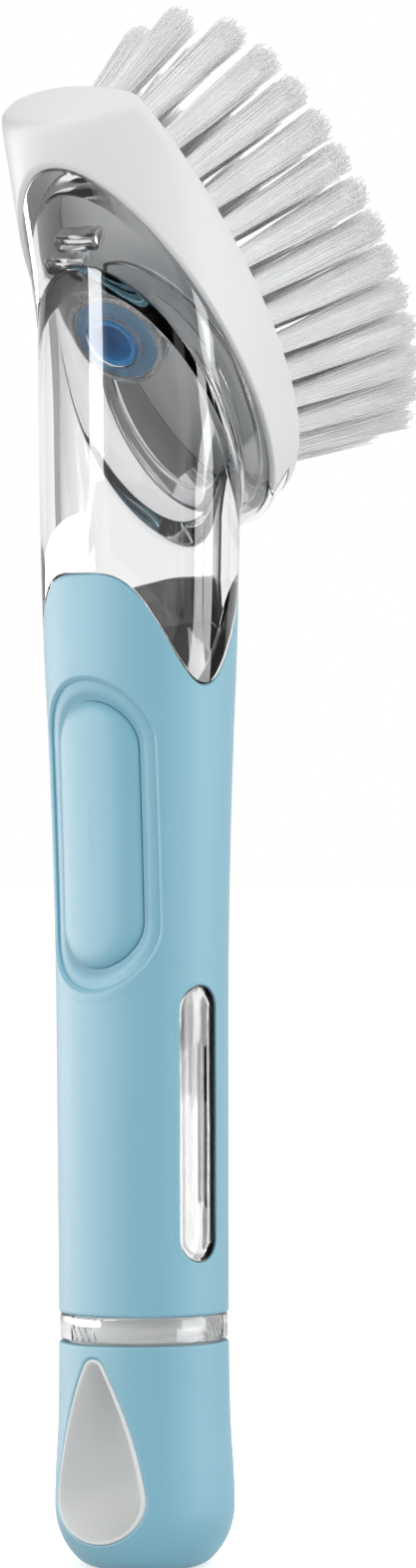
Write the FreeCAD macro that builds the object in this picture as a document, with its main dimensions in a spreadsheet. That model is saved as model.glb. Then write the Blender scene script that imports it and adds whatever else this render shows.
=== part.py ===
"""Soap-dispensing dish wand: clear reservoir handle with a soft grip, a squeeze button, a screw-in
end cap with a hang hole, and a tilted clip-on brush head.

Frame: +Z runs up the handle, the origin is the middle of the cap's foot, the button faces -Y and the
bristles face +Y. Lengths are millimetres and angles are degrees.
"""
import FreeCAD
import Part
import Sketcher
import math
import operator
import os
from types import SimpleNamespace

from FreeCAD import Placement, Rotation, Vector

# Driving dimensions: name, value, meaning
SIZES = [
    ("grip_foot_radius", 15.2, "handle radius at the lower end of the grip"),
    ("collar_length", 4.6, "length of the clear collar between cap and grip"),
    ("waist_radius", 15.4, "handle radius where the straight lower half ends"),
    ("waist_rise", 49.6, "length of the straight lower half, from the grip's lower end"),
    ("shoulder_radius", 16.95, "handle radius at the middle of the flare"),
    ("shoulder_rise", 61.0, "length of the lower part of the flare"),
    ("top_radius", 18.1, "radius of the clear upper tube"),
    ("top_rise", 49.0, "length of the upper part of the flare"),
    ("grip_thickness", 1.7, "thickness of the soft grip"),
    ("tube_wall", 2.0, "wall of the reservoir under the grip"),
    ("grip_crest_drop", 28.0, "distance of the grip's front upper edge below the end of the flare"),
    ("grip_bend_width", 10.2, "distance from the middle where the upper edge turns down"),
    ("grip_bend_drop", 4.3, "how far the upper edge has dropped there"),
    ("grip_scoop_drop", 23.2, "how far the upper edge drops at the sides"),
    ("grip_scoop_width", 17.3, "distance from the middle of that lowest place"),
    ("collar_step", 0.2, "step from the grip's lower end in to the clear collar"),
    ("button_rise", 85.4, "distance of the button's middle above the grip's lower end"),
    ("recess_length", 54.0, "length of the button recess"),
    ("recess_width", 22.0, "width of the button recess"),
    ("pad_length", 47.4, "length of the button pad"),
    ("pad_width", 16.8, "width of the button pad"),
    ("pad_sink", 0.3, "depth of the pad's face below the grip's surface"),
    ("pad_thickness", 1.8, "thickness of the button pad"),
    ("button_travel", 2.2, "travel of the button"),
    ("button_spare", 0.3, "room left under the pressed pad"),
    ("well_wall", 1.2, "wall of the button well"),
    ("well_floor", 1.0, "floor of the button well"),
    ("well_reach", 2.0, "distance of the well's open side from the handle axis"),
    ("port_width", 11.0, "width of the opening in the well's floor"),
    ("port_length", 36.0, "length of the opening in the well's floor"),
    ("plunger_play", 0.6, "gap round the plunger in its opening"),
    ("diaphragm_thickness", 0.6, "thickness of the diaphragm"),
    ("diaphragm_lap", 2.4, "lap of the diaphragm round the opening"),
    ("clamp_thickness", 1.0, "thickness of the diaphragm clamp"),
    ("seat_gap", 0.3, "gap at the curved seat of the well under the grip"),
    ("plunger_gap", 0.4, "gap between plunger and diaphragm"),
    ("window_angle", 79.0, "angle from the button round to the sight window"),
    ("window_width", 8.4, "width of the sight window"),
    ("window_rise", 9.6, "distance of the window's lower end above the grip's lower end"),
    ("window_length", 49.0, "length of the sight window"),
    ("window_gap", 0.1, "gap between the window and the grip"),
    ("cap_height", 40.3, "height of the end cap"),
    ("cap_top_radius", 15.2, "radius of the cap's upper edge"),
    ("cap_neck_radius", 15.3, "radius where the cap starts to swell"),
    ("cap_neck_drop", 9.3, "distance below the cap's upper edge where it starts to swell"),
    ("cap_swell_radius", 15.75, "radius in the middle of the swelling"),
    ("cap_swell_height", 20.0, "height of the middle of the swelling"),
    ("cap_widest_radius", 16.07, "largest radius of the cap"),
    ("cap_widest_height", 11.0, "height of the cap's largest radius"),
    ("cap_heel_radius", 12.2, "radius where the rounded bottom flattens"),
    ("cap_heel_height", 1.6, "height where the rounded bottom flattens"),
    ("cap_foot_radius", 8.37, "radius of the flat foot"),
    ("cap_shell_wall", 1.6, "thickness of the soft cap round its hard core"),
    ("core_foot_height", 5.0, "height of the core's lower face"),
    ("gasket_sink", 0.7, "depth of the gasket's seat below the cap's upper edge"),
    ("gasket_thickness", 1.2, "thickness of the gasket"),
    ("gasket_inset", 0.1, "distance of the gasket's edge inside the core's"),
    ("gasket_width", 1.5, "width of the gasket's ring"),
    ("plug_wall", 2.0, "wall of the threaded plug"),
    ("plug_length", 12.6, "length of the plug above its seat"),
    ("plug_play", 0.3, "gap round and above the plug"),
    ("hang_tip_radius", 1.6, "radius at the narrow end of the hang hole"),
    ("hang_tip_drop", 4.7, "distance of that end's middle below the cap's upper edge"),
    ("hang_bow_radius", 8.9, "radius at the wide end of the hang hole"),
    ("hang_bow_height", 15.0, "height of the middle of the wide end"),
    ("hang_side_radius", 69.2, "radius of the bulged sides of the hang hole"),
    ("liner_wall", 0.8, "wall of the liner in the hang hole"),
    ("wall_lift", 2.0, "height of the slanted end wall above the end of the flare, on the handle axis"),
    ("wall_rise", 36.0, "angle of the end wall's normal above the horizontal"),
    ("wall_thickness", 2.2, "thickness of the slanted end wall"),
    ("carrier_wall", 2.0, "wall of the clear head carrier"),
    ("carrier_toe_wall", 5.5, "slanted wall of the carrier at the toe, along its mouth"),
    ("head_rise", 42.5, "angle of the brush face's normal above the horizontal"),
    ("head_forward", 6.3, "distance of the brush plate's middle in front of the handle axis"),
    ("head_lift", 22.7, "height of the brush plate's middle above the end wall's"),
    ("plate_half_length", 54.0, "half length of the brush plate's oval"),
    ("plate_half_width", 19.8, "half width of the brush plate's oval"),
    ("plate_shift", 5.0, "shift of that oval towards the toe, which leaves the heel narrower"),
    ("plate_lip", 2.5, "height of the plate's straight edge"),
    ("plate_back", 1.5, "thickness of the plate behind its edge"),
    ("toe_reach", 42.8, "distance from the plate's middle to the blunt toe"),
    ("toe_radius", 40.0, "radius of the toe's edge"),
    ("mouth_half_length", 40.6, "half length of the carrier's oval mouth"),
    ("mouth_half_width", 18.0, "half width of the carrier's oval mouth"),
    ("mouth_shift", 6.0, "shift of the mouth towards the heel"),
    ("mouth_depth", 11.0, "distance of the mouth behind the plate"),
    ("shell_rim", 1.3, "thickness of the brush shell round the mouth"),
    ("snap_gap", 0.3, "gap between the brush head and its carrier"),
    ("latch_width", 8.6, "width of the latch tongue at the heel"),
    ("latch_thickness", 1.8, "thickness of the latch tongue"),
    ("latch_length", 7.0, "length of the latch tongue"),
    ("valve_offset", 13.4, "distance of the valve from the handle axis, along the end wall"),
    ("valve_radius", 4.8, "radius of the valve's dome"),
    ("valve_rise", 5.0, "height of the valve's dome above the end wall"),
    ("valve_skin", 1.1, "thickness of the valve's dome"),
    ("valve_outlet_radius", 0.3, "radius of the outlet at the top of the dome"),
    ("valve_flange_radius", 8.0, "radius of the valve's flange"),
    ("valve_flange_thickness", 1.5, "thickness of the valve's flange"),
    ("valve_play", 0.2, "gap round the valve"),
    ("retainer_radius", 9.2, "outer radius of the valve's retaining ring"),
    ("retainer_thickness", 0.8, "thickness of the ring over the flange"),
    ("retainer_lip_radius", 6.6, "inner radius of the ring over the flange"),
    ("tuft_radius", 1.9, "radius of a tuft at its root"),
    ("tuft_tip_radius", 2.9, "radius of a tuft at its tip"),
    ("tuft_length", 34.0, "length of the tufts above the plate"),
    ("tuft_hole_depth", 3.0, "depth of the tuft holes"),
    ("tuft_play", 0.15, "gap round a tuft in its hole"),
    ("tuft_pitch", 6.3, "spacing of the tufts along a row"),
    ("outer_row_half_length", 38.5, "half length of the outer row of tufts"),
    ("outer_row_half_width", 15.5, "half width of the outer row of tufts"),
    ("inner_row_half_length", 31.5, "half length of the inner row of tufts"),
    ("inner_row_half_width", 8.8, "half width of the inner row of tufts"),
    ("middle_row_length", 46.0, "length of the middle row of tufts"),
    ("row_shift", 5.0, "shift of the tuft rows towards the heel"),
    ("side_splay", 13.0, "splay of the outermost tufts to the sides"),
    ("end_splay", 17.0, "splay of the outermost tufts to toe and heel"),
    ("tuft_lean", 17.0, "lean of all tufts towards the heel"),
    ("anchor_width", 2.6, "width of a tuft's anchor plate"),
    ("anchor_height", 1.3, "height of a tuft's anchor plate"),
    ("anchor_thickness", 0.4, "thickness of a tuft's anchor plate"),
    ("soap_hole_radius", 1.8, "radius of the soap holes in the plate"),
]
MIDDLE_ROW_PLACES = 9
TUFT_SIDES = 8
REACH = 120.0  # longer than anything that a cutting block has to pass through
SEAM_TURN = 130.0  # puts the seam of the handle's surfaces away from the window and the button

doc = FreeCAD.newDocument("DishWand")
sheet = doc.addObject("Spreadsheet::Sheet", "Sizes")


class Measure:
    """A size that knows its number and the sheet formula that gives it."""

    def __init__(self, number, formula):
        self.number = number
        self.formula = formula

    def join(self, other, sign, work):
        other = measure(other)
        return Measure(work(self.number, other.number), f"({self.formula} {sign} {other.formula})")

    def __add__(self, other):
        return self.join(other, "+", operator.add)

    def __sub__(self, other):
        return self.join(other, "-", operator.sub)

    def __mul__(self, other):
        return self.join(other, "*", operator.mul)

    def __truediv__(self, other):
        return self.join(other, "/", operator.truediv)

    def __neg__(self):
        return self * -1

    def root(self):
        return Measure(math.sqrt(self.number), f"sqrt({self.formula})")

    def sine(self):
        return Measure(math.sin(math.radians(self.number)), f"sin({self.formula} * 1 deg)")


def measure(value):
    """A plain number as a measure."""
    return value if isinstance(value, Measure) else Measure(float(value), str(value))


def fill_sheet():
    """Write the driving dimensions into the sheet and return them by name."""
    named = {}
    for row, (name, value, meaning) in enumerate(SIZES, start=1):
        sheet.set(f"A{row}", meaning)
        sheet.set(f"B{row}", str(value))
        sheet.setAlias(f"B{row}", name)
        named[name] = Measure(value, f"Sizes.{name}")
    doc.recompute()
    return SimpleNamespace(**named)


size = fill_sheet()

# Heights and radii that follow from the ones before them, from the cap up to the head
size.cap_neck_height = size.cap_height - size.cap_neck_drop
size.hang_tip_height = size.cap_height - size.hang_tip_drop
size.core_radius = size.cap_top_radius - size.cap_shell_wall
size.gasket_radius = size.core_radius - size.gasket_inset
size.plug_radius = size.gasket_radius - size.gasket_width - size.plug_play
size.gasket_seat_height = size.cap_height - size.gasket_sink
size.collar_foot_height = size.gasket_seat_height + size.gasket_thickness
size.collar_radius = size.grip_foot_radius - size.collar_step
size.grip_foot_height = size.collar_foot_height + size.collar_length
size.window_foot_height = size.grip_foot_height + size.window_rise
size.button_height = size.grip_foot_height + size.button_rise
size.waist_height = size.grip_foot_height + size.waist_rise
size.shoulder_height = size.waist_height + size.shoulder_rise
size.top_height = size.shoulder_height + size.top_rise
size.grip_crest_height = size.top_height - size.grip_crest_drop
size.wall_height = size.top_height + size.wall_lift
size.head_height = size.wall_height + size.head_lift


def bind(item, **properties):
    """Tie properties of a document object to the sheet."""
    for name, value in properties.items():
        item.setExpression(name, measure(value).formula)


def tilted(rise, forward, height):
    """Frame whose Z axis points forwards and rises by the given angle; its Y axis runs down to the heel."""
    return Placement(Vector(0, forward.number, height.number), Rotation(Vector(1, 0, 0), rise.number - 90))


head_frame = tilted(size.head_rise, size.head_forward, size.head_height)
wall_frame = tilted(size.wall_rise, measure(0), size.wall_height)


# Sketches

def run_geometry(start, finish, heading, smooth):
    """One run of an outline, a line or an arc that leaves along heading; its end positions, new heading."""
    chord = finish - start
    along = Vector(chord).normalize()
    left = Vector(-heading.y, heading.x, 0)
    if not smooth or abs(chord * left) < 1e-6:
        return Part.LineSegment(start, finish), (1, 2), along
    radius = chord * chord / (2 * (chord * left))
    centre = start + left * radius
    angles = [math.atan2(point.y - centre.y, point.x - centre.x) for point in (start, finish)]
    positions = (1, 2)
    if radius < 0:
        angles.reverse()
        positions = (2, 1)
    if angles[1] < angles[0]:
        angles[1] += 2 * math.pi
    circle = Part.Circle(centre, Vector(0, 0, 1), abs(radius))
    return Part.ArcOfCircle(circle, *angles), positions, along * (2 * (heading * along)) - heading


def draw_outline(sketch, corners):
    """Closed outline through corners (x, y) or (x, y, "smooth").

    A smooth run is the arc that leaves its corner along the run before it, and along +X if it is the first.
    """
    corners = [(measure(corner[0]), measure(corner[1]), len(corner) > 2) for corner in corners]
    points = [Vector(x.number, y.number, 0) for x, y, smooth in corners]
    heading = Vector(1, 0, 0)
    runs = []
    for index, (x, y, smooth) in enumerate(corners):
        finish = points[(index + 1) % len(points)]
        shape, positions, heading = run_geometry(points[index], finish, heading, smooth)
        runs.append((sketch.addGeometry(shape, False), *positions))
    for index, (x, y, smooth) in enumerate(corners):
        geometry, first, last = runs[index]
        before, before_first, before_last = runs[index - 1]
        joint = "Tangent" if smooth else "Coincident"
        sketch.addConstraint(Sketcher.Constraint(joint, before, before_last, geometry, first))
        for axis, value, kind in ((-2, x, "DistanceX"), (-1, y, "DistanceY")):
            if value.formula in ("0", "0.0"):
                sketch.addConstraint(Sketcher.Constraint("PointOnObject", geometry, first, axis))
                continue
            limit = Sketcher.Constraint(kind, -1, 1, geometry, first, value.number)
            sketch.setExpression(f"Constraints[{sketch.addConstraint(limit)}]", value.formula)


def sketch_in(body, corners, turn=0.0):
    """Sketch on the body's upright XZ plane, turned about the Z axis."""
    sketch = body.newObject("Sketcher::SketchObject", f"{body.Name}_outline")
    plane = [item for item in body.Origin.OriginFeatures if item.Role == "XZ_Plane"]
    sketch.AttachmentSupport = [(plane[0], "")]
    sketch.MapMode = "FlatFace"
    sketch.AttachmentOffset = Placement(Vector(0, 0, 0), Rotation(Vector(0, 1, 0), turn))
    draw_outline(sketch, corners)
    return sketch


def revolved(name, corners, turn=0.0):
    """Body turned about the Z axis from an outline of radius and height, with its seam at the given turn."""
    body = doc.addObject("PartDesign::Body", name)
    sketch = sketch_in(body, corners, turn)
    feature = body.newObject("PartDesign::Revolution", f"{name}_turned")
    feature.Profile = sketch
    feature.ReferenceAxis = (sketch, ["V_Axis"])
    feature.Angle = 360
    return body


def block(name, corners, length, both_ways=False, turn=0.0, start=0):
    """Body pushed from an upright outline towards the front, or both ways; start is where it begins."""
    body = doc.addObject("PartDesign::Body", name)
    sketch = sketch_in(body, corners, turn)
    feature = body.newObject("PartDesign::Pad", f"{name}_pushed")
    feature.Profile = sketch
    feature.Midplane = both_ways
    bind(feature, Length=length)
    if start:
        bind(body, **{"Placement.Base.y": -start})
    return body


def oblong(width, length, middle):
    """Upright outline with straight sides and round ends."""
    side = width / 2
    low = middle - (length - width) / 2
    high = middle + (length - width) / 2
    return [(side, low), (side, high, "smooth"), (-side, high), (-side, low, "smooth")]


def teardrop(extra):
    """Outline of the hang hole, widened by extra all round: two round ends joined by bulged sides."""
    tip = size.hang_tip_radius + extra
    bow = size.hang_bow_radius + extra
    side = size.hang_side_radius + extra
    to_bow = side - bow
    to_tip = side - tip
    span = size.hang_tip_height - size.hang_bow_height
    lift = (span * span + to_bow * to_bow - to_tip * to_tip) / (span * 2)
    across = (to_bow * to_bow - lift * lift).root()
    wide = across * bow / to_bow
    narrow = across * tip / to_tip
    low = size.hang_bow_height - lift * bow / to_bow
    high = size.hang_tip_height + (span - lift) * tip / to_tip
    return [(0, size.hang_bow_height - bow, "smooth"), (wide, low, "smooth"), (narrow, high, "smooth"),
            (-narrow, high, "smooth"), (-wide, low, "smooth")]


# Solids

def boolean(kind, label, base, *tools):
    """Cut, fuse or common of one solid with others, chained in order."""
    result = base
    for index, tool in enumerate(tools):
        step = doc.addObject(f"Part::{kind}", f"{label}_{kind}_{index}")
        step.Base = result
        step.Tool = tool
        result = step
    return result


def cylinder(name, radius, low, high):
    """Upright cylinder on the handle axis."""
    item = doc.addObject("Part::Cylinder", name)
    bind(item, Radius=radius, Height=high - low, **{"Placement.Base.z": low})
    return item


def box(name, width, length, height, x, y, z):
    """Box by its sizes and its lowest corner."""
    item = doc.addObject("Part::Box", name)
    places = {"Placement.Base.x": x, "Placement.Base.y": y, "Placement.Base.z": z}
    bind(item, Length=width, Width=length, Height=height, **places)
    return item


def oval(name, half_length, half_width, frame, shift=0, rise=0):
    """Ellipse in a tilted frame with its long axis from toe to heel."""
    item = doc.addObject("Part::Ellipse", name)
    bind(item, MajorRadius=half_length, MinorRadius=half_width)
    spot = Vector(0, measure(shift).number, measure(rise).number)
    item.Placement = frame.multiply(Placement(spot, Rotation(Vector(0, 0, 1), 90)))
    return item


def lofted(name, *sections):
    """Straight-lined solid through oval sections."""
    item = doc.addObject("Part::Loft", name)
    item.Sections = list(sections)
    item.Solid = True
    item.Ruled = True
    return item


def handle_form(name, inset):
    """The handle's flared form from the collar to above the head, drawn in by inset."""
    return revolved(name, [
        (0, size.collar_foot_height),
        (size.grip_foot_radius - inset, size.collar_foot_height),
        (size.grip_foot_radius - inset, size.grip_foot_height),
        (size.waist_radius - inset, size.waist_height, "smooth"),
        (size.shoulder_radius - inset, size.shoulder_height, "smooth"),
        (size.top_radius - inset, size.top_height),
        (size.top_radius - inset, size.top_height + REACH / 2),
        (0, size.top_height + REACH / 2),
    ], SEAM_TURN)


# Parts of the handle

def well_block(name, extra, start=0):
    """Front block with the outline of the button recess, widened by extra all round."""
    outline = oblong(size.recess_width + extra * 2, size.recess_length + extra * 2, size.button_height)
    return block(name, outline, REACH / 2, start=start)


def grip_and_tube(outer, skin, well_space):
    """Soft grip with its scooped upper edge, and the clear tube that shows above, below and in the window."""
    side = size.grip_scoop_width
    crest = size.grip_crest_height
    bend = crest - size.grip_bend_drop
    scoop = crest - size.grip_scoop_drop
    edge = block("grip_edge", [
        (-side, size.grip_foot_height),
        (side, size.grip_foot_height),
        (side, scoop, "smooth"),
        (size.grip_bend_width, bend, "smooth"),
        (0, crest, "smooth"),
        (-size.grip_bend_width, bend, "smooth"),
        (-side, scoop),
    ], REACH, both_ways=True)
    blank = boolean("Cut", "grip_blank", boolean("Common", "grip_band", outer, edge), skin)

    middle = size.window_foot_height + size.window_length / 2
    gap = size.window_gap * 2
    angle = size.window_angle.number
    pane = block("window_pane", oblong(size.window_width, size.window_length, middle), REACH / 2, turn=angle)
    slot_outline = oblong(size.window_width + gap, size.window_length + gap, middle)
    slot = block("window_slot", slot_outline, REACH / 2, turn=angle)
    grip = boolean("Cut", "grip", blank, slot, well_block("button_recess", measure(0)))

    rebate = boolean("Cut", "grip_rebate", blank, pane)
    bore = handle_form("handle_bore", size.grip_thickness + size.tube_wall)
    plug_top = size.gasket_seat_height + size.plug_length + size.plug_play
    plug_space = cylinder("plug_space", size.plug_radius + size.plug_play, size.collar_foot_height, plug_top)
    wide = cylinder("collar_outside", size.grip_foot_radius + size.plug_radius,
                    size.collar_foot_height, size.grip_foot_height)
    collar = cylinder("collar_inside", size.collar_radius, size.collar_foot_height, size.grip_foot_height)
    relief = boolean("Cut", "collar_relief", wide, collar)
    tube = boolean("Cut", "tube", outer, above_wall(), rebate, bore, plug_space, relief, well_space)
    return {"grip_sleeve": grip, "reservoir_tube": tube}


def above_wall():
    """Block that lies on the slanted end wall's lower face."""
    item = doc.addObject("Part::Box", "above_wall")
    bind(item, Length=REACH, Width=REACH, Height=REACH)
    item.Placement = wall_frame.multiply(Placement(Vector(-REACH / 2, -REACH / 2, 0), Rotation()))
    return item


def button_parts(well_space):
    """Pad and plunger that press a diaphragm under the flat floor of a well, held by a clamp behind it."""
    pad_back = size.pad_sink + size.pad_thickness
    hollow = size.waist_radius - pad_back
    pad_edge = (hollow * hollow - size.pad_width * size.pad_width / 4).root()
    floor_face = pad_edge - size.button_travel - size.button_spare
    floor_back = floor_face - size.well_floor
    diaphragm_back = floor_back - size.diaphragm_thickness
    clamp_back = diaphragm_back - size.clamp_thickness
    pad_rear = handle_form("pad_rear", pad_back)

    def plate(name, width, length, low, high=None):
        reach = high - low if high else measure(REACH / 2)
        return block(name, oblong(width, length, size.button_height), reach, start=low)

    lap = size.diaphragm_lap * 2
    play = size.plunger_play * 2
    lapped = (size.port_width + lap, size.port_length + lap)
    well_face = handle_form("well_face", size.grip_thickness + size.seat_gap)
    band = boolean("Common", "well_band", well_space, well_face)
    well = boolean("Cut", "well", band,
                   plate("well_hollow", size.recess_width, size.recess_length, floor_face),
                   plate("well_back", size.recess_width, size.recess_length, size.well_reach, floor_back),
                   plate("port", size.port_width, size.port_length, size.well_reach))
    pad = boolean("Common", "pad_band", plate("pad", size.pad_width, size.pad_length, size.well_reach),
                  handle_form("pad_face", size.pad_sink))
    stem = plate("stem", size.port_width - play, size.port_length - play, floor_back + size.plunger_gap)
    frame = plate("clamp_plate", *lapped, clamp_back, diaphragm_back)
    return {
        "button_well": well,
        "button_pad": boolean("Cut", "pad_cut", pad, pad_rear),
        "button_plunger": boolean("Common", "plunger", stem, pad_rear),
        "pump_diaphragm": plate("diaphragm_plate", *lapped, diaphragm_back, floor_back),
        "diaphragm_clamp": boolean("Cut", "clamp", frame,
                                   plate("clamp_port", size.port_width, size.port_length, size.well_reach)),
    }


# Parts of the end cap

def cap_parts():
    """Soft cap shell over a hard core with a lined hang hole and a plug, and the gasket on its seat."""
    form = revolved("cap_form", [
        (0, size.cap_height),
        (size.cap_top_radius, size.cap_height),
        (size.cap_neck_radius, size.cap_neck_height, "smooth"),
        (size.cap_swell_radius, size.cap_swell_height, "smooth"),
        (size.cap_widest_radius, size.cap_widest_height, "smooth"),
        (size.cap_heel_radius, size.cap_heel_height, "smooth"),
        (size.cap_foot_radius, 0),
        (0, 0),
    ])
    seat = size.gasket_seat_height
    plug_top = seat + size.plug_length
    core = cylinder("core", size.core_radius, size.core_foot_height, seat)
    core_space = cylinder("core_space", size.core_radius, size.core_foot_height, size.cap_height)
    plug = cylinder("plug", size.plug_radius, size.core_foot_height, plug_top)
    plug_hollow = cylinder("plug_hollow", size.plug_radius - size.plug_wall, seat, plug_top)
    sleeve = block("hang_sleeve", teardrop(size.liner_wall), REACH, both_ways=True)
    hang_hole = block("hang_hole", teardrop(measure(0)), REACH, both_ways=True)
    lining = boolean("Common", "lining", sleeve, form)
    hard = boolean("Fuse", "hard_parts", core, plug, lining)
    ring = cylinder("gasket_ring", size.gasket_radius, seat, size.collar_foot_height)
    ring_hole = cylinder("gasket_hole", size.plug_radius + size.plug_play, seat, size.collar_foot_height)
    return {
        "cap_shell": boolean("Cut", "shell_of_cap", form, core_space, sleeve),
        "cap_liner": boolean("Cut", "liner", hard, plug_hollow, hang_hole),
        "cap_gasket": boolean("Cut", "gasket", ring, ring_hole),
    }


# Parts of the head

def head_carrier():
    """Clear carrier: slanted end wall with the valve's hole, and the oval mouth that takes the brush."""
    foot_length = size.top_radius / size.wall_rise.sine()
    foot = oval("carrier_foot", foot_length, size.top_radius, wall_frame)
    mouth = oval("carrier_mouth", size.mouth_half_length, size.mouth_half_width, head_frame,
                 size.mouth_shift, -size.mouth_depth)
    spigot_end = -(size.plate_back + size.snap_gap)
    spigot = [oval(f"spigot_{index}", size.mouth_half_length - size.snap_gap,
                   size.mouth_half_width - size.snap_gap, head_frame, size.mouth_shift, rise)
              for index, rise in enumerate((-size.mouth_depth, spigot_end))]

    inner_length = size.mouth_half_length - (size.carrier_wall + size.carrier_toe_wall) / 2
    inner_shift = size.mouth_shift + (size.carrier_toe_wall - size.carrier_wall) / 2
    inner_width = size.mouth_half_width - size.carrier_wall
    foot_inside = oval("chamber_foot", foot_length - size.carrier_wall * 1.5,
                       size.top_radius - size.carrier_wall, wall_frame, 0, size.wall_thickness)
    chamber = [oval(f"chamber_{index}", inner_length, inner_width, head_frame, inner_shift, rise)
               for index, rise in enumerate((-size.mouth_depth, spigot_end))]

    tongue = doc.addObject("Part::Box", "tongue")
    lap = size.latch_thickness
    bind(tongue, Length=size.latch_width, Width=size.latch_thickness + lap, Height=size.latch_length)
    tongue_foot = size.mouth_shift + size.mouth_half_length - lap
    corner = Vector(-size.latch_width.number / 2, tongue_foot.number, -size.mouth_depth.number)
    tongue.Placement = head_frame.multiply(Placement(corner, Rotation()))

    hole = doc.addObject("Part::Cylinder", "valve_hole")
    bind(hole, Radius=size.valve_radius + size.valve_play, Height=size.wall_thickness * 2)
    hole_foot = Vector(0, -size.valve_offset.number, -size.wall_thickness.number / 2)
    hole.Placement = wall_frame.multiply(Placement(hole_foot, Rotation()))

    solid = boolean("Fuse", "carrier_solid", lofted("carrier_outer", foot, mouth),
                    lofted("spigot", *spigot), tongue)
    carrier = boolean("Cut", "carrier", solid, lofted("chamber_lower", foot_inside, chamber[0]),
                      lofted("chamber_upper", *chamber), hole)
    return {"head_carrier": carrier}


def valve_parts():
    """Soft domed valve that stands in the end wall, with the ring that holds its flange."""
    dome = size.valve_radius
    inside = dome - size.valve_skin
    wall = size.wall_thickness
    flange = wall + size.valve_flange_thickness
    top = wall + size.valve_rise
    valve = revolved("valve_form", [
        (inside, 0),
        (dome, 0),
        (dome, wall),
        (size.valve_flange_radius, wall),
        (size.valve_flange_radius, flange),
        (dome, flange),
        (dome, flange + size.valve_skin / 2, "smooth"),
        (size.valve_outlet_radius, top),
        (size.valve_outlet_radius, top - size.valve_skin),
        (inside, flange),
    ])
    seat = flange + size.valve_play / 2
    cup = size.valve_flange_radius + size.valve_play
    ring = revolved("retainer_form", [
        (cup, wall),
        (size.retainer_radius, wall),
        (size.retainer_radius, seat + size.retainer_thickness),
        (size.retainer_lip_radius, seat + size.retainer_thickness),
        (size.retainer_lip_radius, seat),
        (cup, seat),
    ])
    for body in (valve, ring):
        body.Placement = wall_frame.multiply(Placement(Vector(0, -size.valve_offset.number, 0), Rotation()))
    return {"slit_valve": valve, "valve_retainer": ring}


def ring_places(half_length, half_width):
    """Places at equal steps round an oval row, starting at the heel."""
    count = 720
    turn = [2 * math.pi * step / count for step in range(count + 1)]
    points = [(half_width.number * math.sin(a), half_length.number * math.cos(a)) for a in turn]
    reach = [0.0]
    for (x0, y0), (x1, y1) in zip(points, points[1:]):
        reach.append(reach[-1] + math.hypot(x1 - x0, y1 - y0))
    places = round(reach[-1] / size.tuft_pitch.number)
    wanted = [reach[-1] * place / places for place in range(places)]
    nearest = [min(range(count), key=lambda step: abs(reach[step] - goal)) for goal in wanted]
    return [(points[step][0], points[step][1] + size.row_shift.number) for step in nearest]


def middle_places():
    """Places of the middle row: the tufts, and the soap holes at every third place."""
    step = size.middle_row_length.number / (MIDDLE_ROW_PLACES - 1)
    first = size.row_shift.number - size.middle_row_length.number / 2
    places = [(0.0, first + step * place) for place in range(MIDDLE_ROW_PLACES)]
    return [spot for place, spot in enumerate(places) if place % 3 != 1], places[1::3]


def tuft_frame(place):
    """Frame at a tuft's root on the plate's face, with Z along the splayed tuft."""
    x, y = place
    side = math.copysign(math.sqrt(abs(x) / size.outer_row_half_width.number), x)
    across = side * math.tan(math.radians(size.side_splay.number))
    reach = (y - size.row_shift.number) / size.outer_row_half_length.number
    along = reach * math.tan(math.radians(size.end_splay.number))
    along += math.tan(math.radians(size.tuft_lean.number))
    spot = Vector(x, y, size.plate_lip.number)
    return Placement(spot, Rotation(Vector(0, 0, 1), Vector(across, along, 1)))


def polygon(radius, height):
    """Regular polygon round the Z axis."""
    turns = [2 * math.pi * side / TUFT_SIDES for side in range(TUFT_SIDES + 1)]
    return Part.makePolygon([Vector(radius * math.cos(a), radius * math.sin(a), height) for a in turns])


def set_in(shape, frame):
    """A copy of a shape, set in a frame."""
    placed = shape.copy()
    placed.Placement = frame
    return placed


def group(name, shapes):
    """Separate solids of one kind in the head's frame."""
    item = doc.addObject("Part::Feature", name)
    item.Shape = Part.makeCompound(shapes)
    return item


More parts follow.
